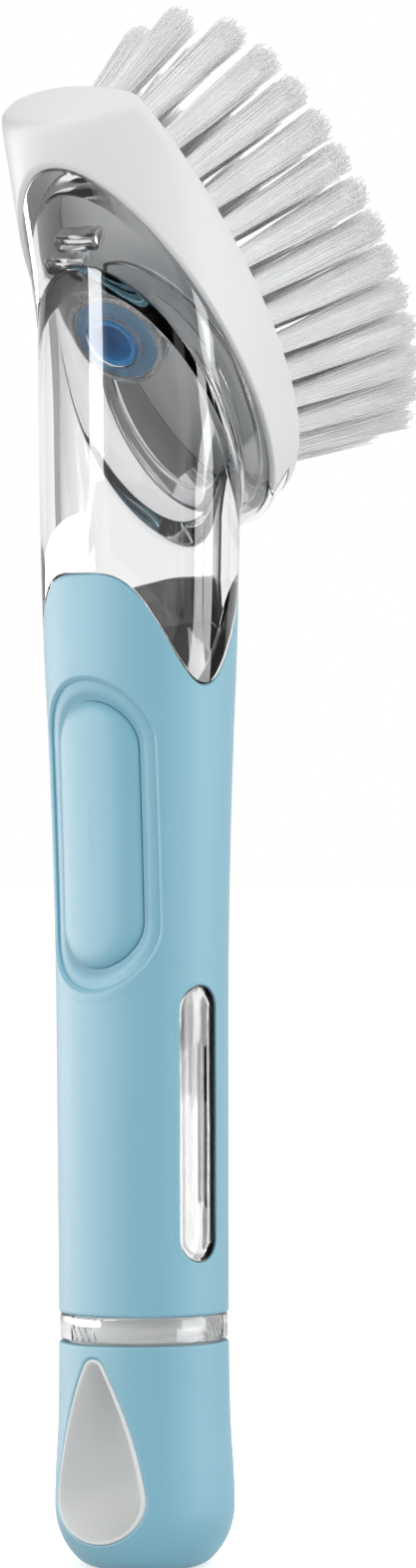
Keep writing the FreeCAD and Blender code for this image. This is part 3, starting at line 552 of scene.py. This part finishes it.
MOUTH = (40.6, 18.0, 6.0)
RIM_RISE = -10.7
VALVE_SHIFT = -13.4
foot_length = 18.1 / math.sin(math.radians(WALL_RISE))
hole_low = end_wall(oval(5.0, 5.0, VALVE_SHIFT, 0.03))
foot_out = end_wall(oval(foot_length - 0.03, 18.07, 0, 0.03))
mouth = brush_face(oval(*MOUTH, -11.0))
spigot = [brush_face(oval(40.3, 17.7, 6.0, rise)) for rise in (-11.0, -1.8)]
chamber = [brush_face(oval(36.85, 16.0, 7.75, rise)) for rise in (-1.8, -11.0)]
foot_in = end_wall(oval(foot_length - 3.0, 16.1, 0, 2.2))
hole_high = end_wall(oval(5.0, 5.0, VALVE_SHIFT, 2.2))
rings = [hole_low, foot_out]
rings += [foot_out * (1 - part) + mouth * part for part in (0.25, 0.5, 0.75)]
rings += [mouth, *spigot, *chamber]
rings += [chamber[1] * (1 - part) + foot_in * part for part in (0.33, 0.67)]
rings += [foot_in, hole_high]
reach = [0.3, 0.9, 0, 0, 0, 0.6, 0.4, 0.5, 0.5, 0.4, 0, 0, 0.8, 0.3]
set_grid("clear_carrier", ring_grid(rings, reach, 5), "handle", clear, "clear", ["head_carrier"],
         loop_columns=True)

# %% Tongue and catch
def soft_block(low, high, edge=0.5):
    """Block with rounded edges: a rounded outline in x and z, carried along y through rings that draw in
    by edge at both ends and close at the middle."""
    low, high = np.asarray(low, float), np.asarray(high, float)
    corners = [(low[0], low[2]), (high[0], low[2]), (high[0], high[2]), (low[0], high[2])]
    x, z = rounded(corners, edge * 1.5, 6).T
    middle = (low + high) / 2
    scale = np.array([0, 1 - edge / (high[0] - low[0]) * 2, 1 - edge / (high[0] - low[0]) * 0.5, 1])
    scale = np.concatenate([scale, scale[::-1]])[None, :]
    y = np.array([low[1], low[1], low[1] + edge * 0.4, low[1] + edge])
    y = np.concatenate([y, (low[1] + high[1] - y)[::-1]])[None, :]
    x = middle[0] + (x[:, None] - middle[0]) * scale
    z = middle[2] + (z[:, None] - middle[2]) * scale
    return np.stack(np.broadcast_arrays(x, y, z), axis=-1)


def heel_depth(x, z, share):
    """Local y in the heel's wall: share 0 on the wall of the socket, share 1 on the shell's outside."""
    half_length, half_width, shift = MOUTH
    up = (z - RIM_RISE) / -RIM_RISE
    inner = shift + half_length * np.sqrt(1 - (x / half_width) ** 2)
    outer = shift - 11.0 * up + (41.9 + 12.1 * up) * np.sqrt(1 - (x / (19.3 + 0.5 * up)) ** 2)
    return inner + share * (outer - inner)


NOTCH_HALF, NOTCH_TOP = 10.8, -3.4
TONGUE_LOW, TONGUE_MIDDLE, TONGUE_HIGH, TONGUE_DEPTH = -10.6, -7.25, -3.9, 3.0
corners = [(0.0, TONGUE_LOW), (TONGUE_DEPTH, TONGUE_LOW), (TONGUE_DEPTH, TONGUE_HIGH), (0.0, TONGUE_HIGH)]
depth, rise = rounded(corners, 0.4, 5).T
x = np.concatenate([[10.4, 10.4, 10.3], np.linspace(10.0, -10.0, 31), [-10.3, -10.4, -10.4]])[None, :]
shrink = np.concatenate([[0, 0.9, 0.97], np.ones(31), [0.97, 0.9, 0]])[None, :]
rise = TONGUE_MIDDLE + (rise[:, None] - TONGUE_MIDDLE) * shrink
through_wall = 0.5 + (depth[:, None] / TONGUE_DEPTH - 0.5) * shrink
tongue = np.stack([x + 0 * rise, heel_depth(x, rise, through_wall), rise], axis=-1)
set_grid("latch_tongue", brush_face(tongue), "handle", clear_thick, "clear")
for name, low, high in (("catch_upper", (-4.4, -21.8, -14.4), (4.4, -19.0, -10.4)),
                        ("catch_lower", (-8.2, -17.6, -15.4), (0.4, -15.2, -12.0))):
    set_grid(name, brush_face(soft_block(low, high, 0.45)), "handle", clear, "clear")
shelf_corners = ((26.5, 16.6, 8.6), (26.5, 16.6, 9.8), (21.5, 12.4, 9.8), (21.5, 12.4, 8.6))
shelf = [end_wall(oval(length, width, 1.5, rise)) for length, width, rise in shelf_corners]
set_grid("carrier_shelf", ring_grid(shelf, 0.5, 5), "handle", clear, "clear", loop_columns=True)


# %% Valve and its retainer
def at_valve(profile, sides=96):
    """A profile turned about the valve's axis, in the end wall."""
    return end_wall(turned(profile, sides) + np.array([0, VALVE_SHIFT, 0]))


flange = [(4.9, 2.2), (8.0, 2.2), (8.0, 3.7), (4.9, 3.7)]
set_grid("valve_flange", at_valve(rounded(flange, 0.4, 5)), "handle", valve_pale, "valve_blue",
         loop_columns=True)
cup = [(3.7, 0.0), (4.8, 0.0), (4.8, 3.7), (4.6, 4.8), (3.0, 6.5),
       (0.3, 7.2), (0.3, 6.1), (2.2, 5.5), (3.5, 3.9)]
set_grid("slit_valve_soft", at_valve(rounded(cup, 0.45, 5)), "handle", valve_blue, "valve_blue",
         ["slit_valve"], loop_columns=True)
ring = [(8.2, 2.2), (9.2, 2.2), (9.2, 4.6), (6.6, 4.6), (6.6, 3.8), (8.2, 3.8)]
set_grid("retainer_ring", at_valve(rounded(ring, 0.25, 4)), "handle", clear, "clear", ["valve_retainer"],
         loop_columns=True)

# %% [markdown]
# ## The end cap
# The cap's outline is a chain of arcs, each leaving along the end of the one before. It is turned about
# the axis, opened for the hang hole, and framed there by a ring. A white liner runs through it.

# %% Cap outline
def arc_chain(corners, heading, step=0.35):
    """Points on arcs through the corners: each arc leaves along the heading, its radius is
    chord^2 / (2 chord . left), and it ends with the heading mirrored in the chord."""
    corners, heading = np.asarray(corners, float), np.asarray(heading, float)
    runs = [corners[:1]]
    for start, finish in zip(corners, corners[1:]):
        heading = heading / np.linalg.norm(heading)
        chord = finish - start
        left = np.array([-heading[1], heading[0]])
        count = max(2, int(np.linalg.norm(chord) / step))
        t = np.linspace(0, 1, count + 1)[1:, None]
        swing = 2 * math.atan2(chord @ left, chord @ heading)
        if abs(swing) < 1e-6:
            runs.append(start + chord * t)
        else:
            radius = np.linalg.norm(chord) / (2 * math.sin(swing / 2))
            runs.append(start + radius * (np.sin(t * swing) * heading + (1 - np.cos(t * swing)) * left))
        heading = math.cos(swing) * heading + math.sin(swing) * left
    return np.concatenate(runs)


side_down = arc_chain([(15.2, 40.0), (15.3, 31.0), (15.75, 20.0), (16.07, 11.0), (12.2, 1.6), (8.37, 0.0)],
                      (0.1, -9.0))
cap_profile = np.concatenate([[(0.0, 0.0), (4.0, 0.0)], side_down[::-1],
                              [(15.12, 40.18), (14.95, 40.28), (14.7, 40.3), (13.6, 40.3), (13.6, 38.5)]])
cap_profile[:, 0] = np.maximum(cap_profile[:, 0], 0)
HANG_HOLE = (12.9, 8.9, 35.6, 1.6, 69.2)
BLUNT_END = 0.82
rising = side_down[::-1][side_down[::-1][:, 1] > 1.0]


def cap_radius(z):
    """The cap's radius at a height, read from its outline."""
    return np.interp(z, rising[:, 1], rising[:, 0])


CAP_ROWS = 230


def cap_place(u, v):
    """Row u is a turn about the axis, column v a place along the outline."""
    turn = u * (2 * np.pi / CAP_ROWS)
    knots = np.arange(len(cap_profile))
    r, z = np.interp(v, knots, cap_profile[:, 0]), np.interp(v, knots, cap_profile[:, 1])
    return about_axis(r, turn, z)


def hang_gap(points):
    """Distance outside the widened hang hole, front and back alike, with its blunt end drawn out round."""
    z, widest = points[..., 2], HANG_HOLE[0]
    flat = (z < 0.5) | (z > 40.2)
    z = np.where(z < widest, widest - (widest - z) / BLUNT_END, z)
    return np.where(flat, 9.0, drop_gap(points[..., 0], z, *HANG_HOLE) - 1.8)


def hang_ring(widths, sinks, turn=0.0):
    """Ring of points round the hang hole, whose part below the widest place is 0.82 as high as a circle."""
    centre, radius, normal = drop(*HANG_HOLE)
    spots = centre[:, None] + (radius[:, None] + np.asarray(widths)[None, :, None]) * normal[:, None]
    z, widest = spots[..., 1], HANG_HOLE[0]
    spots[..., 1] = np.where(z < widest, widest - (widest - z) * BLUNT_END, z)
    return on_skin(spots, np.asarray(sinks)[None, :], cap_radius, turn)


points, faces = opened_sheet(CAP_ROWS, len(cap_profile), cap_place, hang_gap)
set_piece("cap_soft", lay_mesh("cap_soft", points, faces), "cap", soft_blue, "soft_blue", ["cap_shell"])

# %% Hang hole rings and liner
rim_out, rim_down = [2.0, 1.8, 1.4, 1.1, 0.92, 0.83, 0.8], [0.04, 0.0, 0.0, 0.05, 0.16, 0.4, 1.3]
for side, name in ((0.0, "hang_rim_front"), (math.pi, "hang_rim_back")):
    set_grid(name, hang_ring(rim_out, rim_down, side), "cap", soft_blue, "soft_blue")
liner_out = [0.78, 0.76, 0.68, 0.54, 0.38, 0.22, 0.10, 0.02, 0.0]
liner_down = [0.7, 0.2, 0.03, -0.06, -0.09, -0.02, 0.16, 0.42, 0.8]
front_rim = hang_ring(liner_out, liner_down)
back_rim = front_rim[:, ::-1] * np.array([1, -1, 1])
through = np.linspace(0, 1, 14)[None, 1:-1, None]
tunnel = front_rim[:, -1:] * (1 - through) + back_rim[:, :1] * through
liner = np.concatenate([front_rim, tunnel, back_rim], axis=1)
set_grid("hang_liner", liner, "cap", satin_white, "hard_white", ["cap_liner"])

# %% [markdown]
# ## The threaded plug and the gasket
# Through the clear collar shows the white plug that screws into the tube. Its thread climbs 5 mm a turn,
# the same pitch that couples the cap's turn to its travel.

# %% Plug with its thread
rows, columns = 180, 90
angle = np.linspace(0, 2 * np.pi, rows, endpoint=False)[:, None]
height = np.linspace(40.9, 52.0, columns)[None, :]
phase = (height - 5.0 * angle / (2 * np.pi)) / 5.0
ridge = np.clip(3.2 * np.cos(2 * np.pi * phase) - 1.7, 0, 1) * np.clip((51.6 - height) / 1.5, 0, 1)
plug_radius = 11.25 + 0.42 * ridge
side = about_axis(plug_radius, angle, height)
lower = turned([(0.0, 38.0), (13.55, 38.0), (13.55, 39.55), (13.4, 39.6), (11.5, 39.6), (11.3, 39.8)], rows)
upper = turned([(11.1, 52.2), (9.9, 52.2), (9.7, 52.0), (9.7, 40.2), (0.0, 39.9)], rows)
set_grid("threaded_plug", np.concatenate([lower, side, upper], axis=1), "cap", satin_white, "hard_white")
seal = rounded([(12.0, 39.6), (13.5, 39.6), (13.5, 40.78), (12.0, 40.78)], 0.4, 5)
set_grid("seal_ring", turned(seal), "cap_seal", rubber, "diaphragm", ["cap_gasket"], loop_columns=True)

# %% [markdown]
# ## The brush shell
# The white shell is a blunt boat: an oval back rim that grips the carrier, widening to the plate that
# carries the tufts. The toe is cut off along a wide arc. Its rings run from the inside of the plate,
# down the socket, round the back rim, up the outside and over the plate's edge to its middle.

# %% Brush shell
def blunt(ring, soft=0.8):
    """Local ring with its toe drawn in to an arc of 40 mm about (0, -2.8), by a soft minimum."""
    x, y, z = ring[:, 0], ring[:, 1] + 2.8, ring[:, 2]
    reach = np.hypot(x, y)
    drawn = reach - soft * np.logaddexp(0, (reach - 40.0) / soft)
    scale = np.where(y < 0, drawn / np.maximum(reach, 1e-6), 1.0)
    return np.stack([x * scale, y * scale - 2.8, z], axis=-1)


back = oval(41.9, 19.3, 6.0, RIM_RISE)
crease = oval(54.0, 19.8, -5.0, 0.0)
front = oval(53.1, 18.9, -5.0, 2.5)
socket_high, socket_low = oval(*MOUTH, -1.5), oval(*MOUTH, RIM_RISE)
shell_rings = [socket_high * 0.0 + [0, 6.0, -1.5], socket_high * [0.5, 0.5, 1] + [0, 3.0, 0], socket_high,
               socket_low, back]
shell_rings += [blunt(back * (1 - part) + crease * part) for part in np.linspace(0.08, 0.92, 15)]
shell_rings += [blunt(crease), blunt(front)]
middle = np.array([0, -2.0, 2.5])
shell_rings += [(blunt(front) - middle) * part + middle for part in (0.97, 0.9, 0.6, 0.3, 0.0)]
reach = [0.0, 0.0, 0.6, 0.3, 0.5] + [0.0] * 15 + [0.5, 0.5] + [0.0] * 5
shell = ring_grid(shell_rings, reach, 4, closed=False)


def shell_place(u, v):
    """The shell's grid read between its points, wrapped along its rows."""
    u0, v0 = np.floor(u).astype(int), np.clip(np.floor(v).astype(int), 0, shell.shape[1] - 2)
    du, dv = (u - u0)[..., None], (v - v0)[..., None]
    a, b = u0 % len(shell), (u0 + 1) % len(shell)
    return ((shell[a, v0] * (1 - dv) + shell[a, v0 + 1] * dv) * (1 - du)
            + (shell[b, v0] * (1 - dv) + shell[b, v0 + 1] * dv) * du)


def notch_gap(points):
    """Distance outside the latch notch at the heel: 21.6 mm wide, from the back rim up to 3.4 mm."""
    x, y, z = np.moveaxis(points, -1, 0)
    return np.where(y > 30, np.maximum(np.abs(x) - NOTCH_HALF, z - NOTCH_TOP), 9.0)


points, faces = opened_sheet(shell.shape[0], shell.shape[1], shell_place, notch_gap)
set_piece("brush_shell_white", lay_mesh("brush_shell_white", brush_face(points), faces), "brush", satin_white,
          "hard_white", ["brush_shell"])

# %% Walls of the notch
corners = [(-NOTCH_HALF, RIM_RISE), (-NOTCH_HALF, NOTCH_TOP), (NOTCH_HALF, NOTCH_TOP), (NOTCH_HALF, RIM_RISE)]
path = rounded(corners, 0.3, 4, closed=False)
x, z = np.concatenate([np.linspace(a, b, 8) for a, b in zip(path, path[1:])]).T
wall = np.stack([np.stack([x, heel_depth(x, z, share), z], axis=-1) for share in (0.0, 1.0)], axis=1)
set_grid("notch_walls", brush_face(wall), "brush", satin_white, "hard_white", loop_rows=False)

# %% [markdown]
# ## Tufts of nylon filaments
# Each tuft is a bundle of thin filaments set in one hole, splayed at the rim and frayed at the tip. A
# filament is a bent four-sided rod of a few faces, and all of a row's filaments are worked out at once:
# root spot on a spiral, tip spot further out, a little random bend and length.

# %% Tuft places
ROW_LENGTH, ROW_WIDTH, ROW_SHIFT = 38.5, 15.5, 5.0
SIDE_SPLAY, END_SPLAY, LEAN = (math.tan(math.radians(angle)) for angle in (12.3, 14, 18.0))


def row_places(half_length, half_width, pitch=6.3):
    """Places at equal arc steps round an oval row, starting at the heel; 5 mm nearer the heel in all."""
    a = np.linspace(0, 2 * np.pi, 721)
    spots = np.stack([half_width * np.sin(a), half_length * np.cos(a)], axis=-1)
    arc = np.concatenate([[0], np.cumsum(np.linalg.norm(np.diff(spots, axis=0), axis=1))])
    count = round(arc[-1] / pitch)
    goal = arc[-1] * np.arange(count) / count
    x, y = (np.interp(goal, arc, values) for values in spots.T)
    return np.stack([x, y + ROW_SHIFT], axis=-1)


def tuft_axes(places):
    """Direction of each tuft: splay to the sides grows with the root of |x|, splay to the ends with y, plus
    a lean to the heel."""
    x, y = places.T
    across = np.sign(x) * np.sqrt(np.abs(x) / ROW_WIDTH) * SIDE_SPLAY
    along = (y - ROW_SHIFT) / ROW_LENGTH * END_SPLAY + LEAN
    axes = np.stack([across, along, np.ones(len(x))], axis=-1)
    return axes / np.linalg.norm(axes, axis=1, keepdims=True)


middle_row = np.stack([np.zeros(9), ROW_SHIFT - 23.0 + 46.0 / 8 * np.arange(9)], axis=-1)
middle_row = np.delete(middle_row, [1, 4, 7], axis=0)
rows = {"outer": row_places(ROW_LENGTH, ROW_WIDTH), "inner": row_places(31.5, 8.8), "middle": middle_row}
print("tufts:", {name: len(places) for name, places in rows.items()})

# %% Filaments
bristle = grained("nylon_bristle", (0.96, 0.965, 0.965), 0.42, 700, 0.0, 0.02, Transmission_Weight=0.1)
FILAMENTS, GOLDEN_TURN = 300, 2.39996
ROOT_RADIUS, TIP_RADIUS = 1.75, 2.95
TUFT_LENGTH, TOE_EXTRA, FRAY = 34.3, 1.5, 1.6


def tuft_frames(places):
    """Start point, axis and two crosswise directions of each tuft, shape (tufts, 1, 3)."""
    axis = tuft_axes(places)[:, None]
    side = np.cross(axis, [0.0, 1.0, 0.0])
    side = side / np.linalg.norm(side, axis=-1, keepdims=True)
    start = np.concatenate([places, np.full((len(places), 1), 2.5)], axis=1)[:, None]
    return start, axis, side, np.cross(axis, side)


def filaments(places, seed):
    """Rods of four sides and three rings. Ring k of a filament lies at root + (tip - root) * t, plus a
    bend of t * (1 - t), and its thickness tapers from 0.13 to 0.10 mm. Tufts at the toe are longer."""
    chance = np.random.default_rng(seed)
    start, axis, side, other = tuft_frames(places)
    shape = (len(places), FILAMENTS, 1)
    order = (np.arange(FILAMENTS) + 0.5)[None, :, None]
    swirl = order * GOLDEN_TURN + chance.uniform(0, 6.28, (len(places), 1, 1))
    out = np.sqrt(order / FILAMENTS)
    ray = np.cos(swirl) * side + np.sin(swirl) * other
    root = start + ray * out * ROOT_RADIUS - axis * 1.0
    stray = chance.normal(0, 0.26, shape) * side + chance.normal(0, 0.26, shape) * other
    longer = TOE_EXTRA * np.clip(-places[:, 1] / 33.0, 0, 1)[:, None, None]
    length = TUFT_LENGTH + longer - 0.2 * out ** 3 - np.abs(chance.normal(0, FRAY, shape))
    tip = start + ray * out * TIP_RADIUS + stray + axis * length
    bend = ray * chance.normal(0.3, 0.5, shape) * out
    t = np.array([0.0, 0.5, 1.0])[:, None, None]
    line = root[:, :, None, None] + (tip - root)[:, :, None, None] * t + bend[:, :, None, None] * t * (1 - t)
    corner = np.arange(4)[None, :, None] * np.pi / 2
    ring = np.cos(corner) * side[:, :, None, None] + np.sin(corner) * other[:, :, None, None]
    return (line + ring * (0.13 - 0.03 * t)).reshape(-1, 3)


def tuft_cores(places):
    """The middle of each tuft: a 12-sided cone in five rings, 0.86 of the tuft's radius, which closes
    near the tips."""
    start, axis, side, other = tuft_frames(places)
    a = np.arange(12) * np.pi / 6
    along = np.array([-1.0, 15.0, 29.5, 31.0, 31.3])[:, None]
    wide = 0.86 * np.array([1.7, 2.3, 2.84, 2.4, 0.0])[:, None]
    ring = np.cos(a)[:, None] * side[:, None] + np.sin(a)[:, None] * other[:, None]
    return (start[:, None] + along[..., None] * axis[:, None] + wide[..., None] * ring).reshape(-1, 3)


def repeated(base, points, count):
    """Quads of many like bodies: the first one's quads, moved on by its number of points each time."""
    return (base[None] + points * np.arange(count)[:, None, None]).reshape(-1, 4)


rod_quads = np.concatenate([grid_quads(3, 4, False, True)[:, ::-1], [[8, 9, 10, 11]]])
core_quads = grid_quads(5, 12, False, True)[:, ::-1]
for seed, (row, places) in enumerate(rows.items()):
    rods, cores = filaments(places, seed + 7), tuft_cores(places)
    mesh = lay_mesh(f"{row}_filaments", brush_face(rods), repeated(rod_quads, 12, len(rods) // 12))
    tufts = set_piece(f"{row}_filaments", mesh, "brush", bristle, "bristle", [f"{row}_tufts"], sharp=100,
                      weld=False)
    tufts.visible_shadow = False
    mesh = lay_mesh(f"{row}_cores", brush_face(cores), repeated(core_quads, 60, len(places)))
    set_piece(f"{row}_cores", mesh, "brush", bristle, "bristle", sharp=100)

# %% [markdown]
# ## Solids that stay as they are
# The plunger, the well, the diaphragm, its clamp and the anchors sit inside, and their CAD shape is right.
# They keep their solids and get a finish each.

# %% Finishes for kept solids
kept = {"button_plunger": satin_white, "button_well": hard_blue, "pump_diaphragm": rubber,
        "diaphragm_clamp": satin_white, "tuft_anchors": anchor_metal}
for node, finish in kept.items():
    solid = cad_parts[node]
    solid.data.materials.clear()
    solid.data.materials.append(finish)
print("kept solids:", sorted(kept))

# %% [markdown]
# ## Studio
# Everything stands on white. Soft lights give the even light. Panels that show only in gloss, and on the
# right through glass too, brighten the handle's sides and leave a deeper band down its middle. Clear
# plastic on white would vanish, so dark cards, which show only in gloss and through glass, give it its
# greys and its lines, and gloss and glass see the floor without its glow.

# %% Camera
AZIMUTH = math.radians(36.5)
DISTANCE, SIDE_STEP, EYE_HEIGHT = 1.125, 0.01195, 0.1397
towards = np.array([math.sin(AZIMUTH), -math.cos(AZIMUTH), 0])
rightward = np.array([math.cos(AZIMUTH), math.sin(AZIMUTH), 0])
camera = place_new("camera", bpy.data.cameras.new("camera"))
camera.data.sensor_width = 36.0
camera.data.lens = 144.3
camera.data.clip_start = 0.05
camera.location = towards * DISTANCE + rightward * SIDE_STEP + np.array([0, 0, EYE_HEIGHT])
camera.rotation_euler = (math.pi / 2, math.radians(0.3), AZIMUTH)
bpy.context.scene.camera = camera
bpy.context.scene.view_settings.view_transform = "Standard"
print("camera at", np.round(np.array(camera.location), 3).tolist())

# %% Lights
def lamp_at(name, turn, distance, height, width, tall, power, aim):
    """Area light at a turn to the right of the camera, facing the handle's axis at the height of aim."""
    lamp = place_new(name, bpy.data.lights.new(name, "AREA"))
    lamp.data.shape = "RECTANGLE"
    lamp.data.size, lamp.data.size_y = width, tall
    lamp.data.energy = power
    lamp.visible_camera = False
    a = AZIMUTH + math.radians(turn)
    lamp.location = (math.sin(a) * distance, -math.cos(a) * distance, height)
    lamp.rotation_euler = (math.atan2(distance, height - aim), 0, a)
    return lamp


def soft_light(name, turn, distance, height, side, power):
    """Square light that gives the even light; gloss doesn't show it."""
    lamp = lamp_at(name, turn, distance, height, side, side, power, 0.15)
    lamp.visible_glossy = lamp.visible_transmission = False


def panel(name, turn, distance, low, high, width, radiance, through=False):
    """Upright panel that gloss shows, and glass too where asked: power = pi * area * radiance."""
    middle = (low + high) / 2
    power = math.pi * width * (high - low) * radiance
    lamp = lamp_at(name, turn, distance, middle, width, high - low, power, middle)
    lamp.visible_diffuse = False
    lamp.visible_transmission = through


soft_light("front_key", 0, 0.9, 0.75, 0.6, 2.6)
soft_light("right_fill", 75, 0.9, 0.45, 0.6, 0.1)
soft_light("back_fill", 115, 0.9, 0.15, 0.6, 2.6)
soft_light("top_light", 20, 0.35, 1.2, 0.8, 2.4)
panel("left_strip", -49, 1.0, 0.22, 0.80, 0.30, 18.0)
panel("left_panel", -100, 1.0, 0.0, 0.18, 1.6, 19.0)
panel("right_low", 74, 0.45, 0.0, 0.125, 0.34, 6.4, True)
panel("right_high", 85, 0.45, 0.125, 0.45, 0.11, 9.0, True)

# %% World and floor
def white_to_eye(nodes, link, other):
    """Mix of another shader with white light for rays from the camera, off gloss and through glass, as long
    as they haven't met a matt surface."""
    path = nodes.new("ShaderNodeLightPath")
    gloss, eye, early, seen = (nodes.new("ShaderNodeMath") for _ in range(4))
    gloss.operation = eye.operation = "MAXIMUM"
    early.operation, seen.operation = "LESS_THAN", "MULTIPLY"
    early.inputs[1].default_value = 0.5
    link(path.outputs["Is Glossy Ray"], gloss.inputs[0])
    link(path.outputs["Is Transmission Ray"], gloss.inputs[1])
    link(gloss.outputs[0], eye.inputs[0])
    link(path.outputs["Is Camera Ray"], eye.inputs[1])
    link(path.outputs["Diffuse Depth"], early.inputs[0])
    link(eye.outputs[0], seen.inputs[0])
    link(early.outputs[0], seen.inputs[1])
    mix = nodes.new("ShaderNodeMixShader")
    link(seen.outputs[0], mix.inputs["Fac"])
    link(other, mix.inputs[1])
    return mix


world = bpy.data.worlds.new("studio")
world.use_nodes = True
bpy.context.scene.world = world
nodes, link = world.node_tree.nodes, world.node_tree.links.new
ambient = set_values(nodes["Background"], Color=(1, 1, 1, 1), Strength=0.55)
bright = set_values(nodes.new("ShaderNodeBackground"), Color=(1, 1, 1, 1), Strength=1.0)
mix = white_to_eye(nodes, link, ambient.outputs[0])
link(bright.outputs[0], mix.inputs[2])
link(mix.outputs[0], nodes["World Output"].inputs["Surface"])

ONE_QUAD = np.array([[0, 1, 2, 3]])
floor_points = np.array([(-6000.0, -6000, 0), (6000, -6000, 0), (6000, 6000, 0), (-6000, 6000, 0)])
floor = place_new("floor", lay_mesh("floor", floor_points, ONE_QUAD))
paper = bpy.data.materials.new("white_paper")
paper.use_nodes = True
nodes, link = paper.node_tree.nodes, paper.node_tree.links.new
matte = set_values(nodes["Principled BSDF"], Base_Color=(0.82, 0.82, 0.82, 1), Roughness=0.9)
glow = set_values(nodes.new("ShaderNodeEmission"), Strength=0.60)
both = nodes.new("ShaderNodeAddShader")
link(matte.outputs[0], both.inputs[0])
link(glow.outputs[0], both.inputs[1])
plain = set_values(nodes.new("ShaderNodeEmission"), Strength=0.92)
sight = nodes.new("ShaderNodeMixShader")
link(nodes.new("ShaderNodeLightPath").outputs["Is Camera Ray"], sight.inputs["Fac"])
link(plain.outputs[0], sight.inputs[1])
link(both.outputs[0], sight.inputs[2])
mix = white_to_eye(nodes, link, matte.outputs[0])
link(sight.outputs[0], mix.inputs[2])
link(mix.outputs[0], nodes["Material Output"].inputs["Surface"])
floor.data.materials.append(paper)

# %% Dark cards
def card_paper(name, tone):
    """Flat card stock of one grey tone."""
    paper = bpy.data.materials.new(name)
    paper.use_nodes = True
    set_values(paper.node_tree.nodes["Principled BSDF"], Base_Color=(tone, tone, tone, 1))
    return paper


black, grey = card_paper("black_card", 0.01), card_paper("grey_card", 0.6)


def dark_card(name, corners, glossy, transmission, paper=black):
    """Card with its corners in metres, seen only in gloss or through glass."""
    card = place_new(name, lay_mesh(name, np.array(corners) * 1000, ONE_QUAD))
    card.data.materials.append(paper)
    card.visible_camera = card.visible_diffuse = card.visible_shadow = False
    card.visible_glossy = glossy
    card.visible_transmission = transmission


def upright(turn, distance, width, low, high):
    """Corners of an upright card at a turn to the right of the camera."""
    a = AZIMUTH + math.radians(turn)
    middle = np.array([math.sin(a), -math.cos(a), 0]) * distance
    along = np.array([math.cos(a), math.sin(a), 0]) * width / 2
    foot, head = np.array([0, 0, low]), np.array([0, 0, high])
    return [middle - along + foot, middle + along + foot, middle + along + head, middle - along + head]


dark_card("card_front", upright(6, 1.4, 2.5, -0.5, 1.1), True, False)
dark_card("card_side", upright(113, 0.6, 0.34, 0.0, 0.16), True, False)
dark_card("card_left", upright(-100, 1.5, 2.2, -0.7, 1.3), True, True, grey)
dark_card("card_right", upright(96, 1.5, 2.0, -0.7, 1.3), True, True)
right_floor = [rightward * far + towards * side + np.array([0, 0, 0.002]) for far, side in
               ((0.12, -0.5), (0.9, -0.5), (0.9, 0.35), (0.12, 0.35))]
dark_card("card_floor", right_floor, True, True)
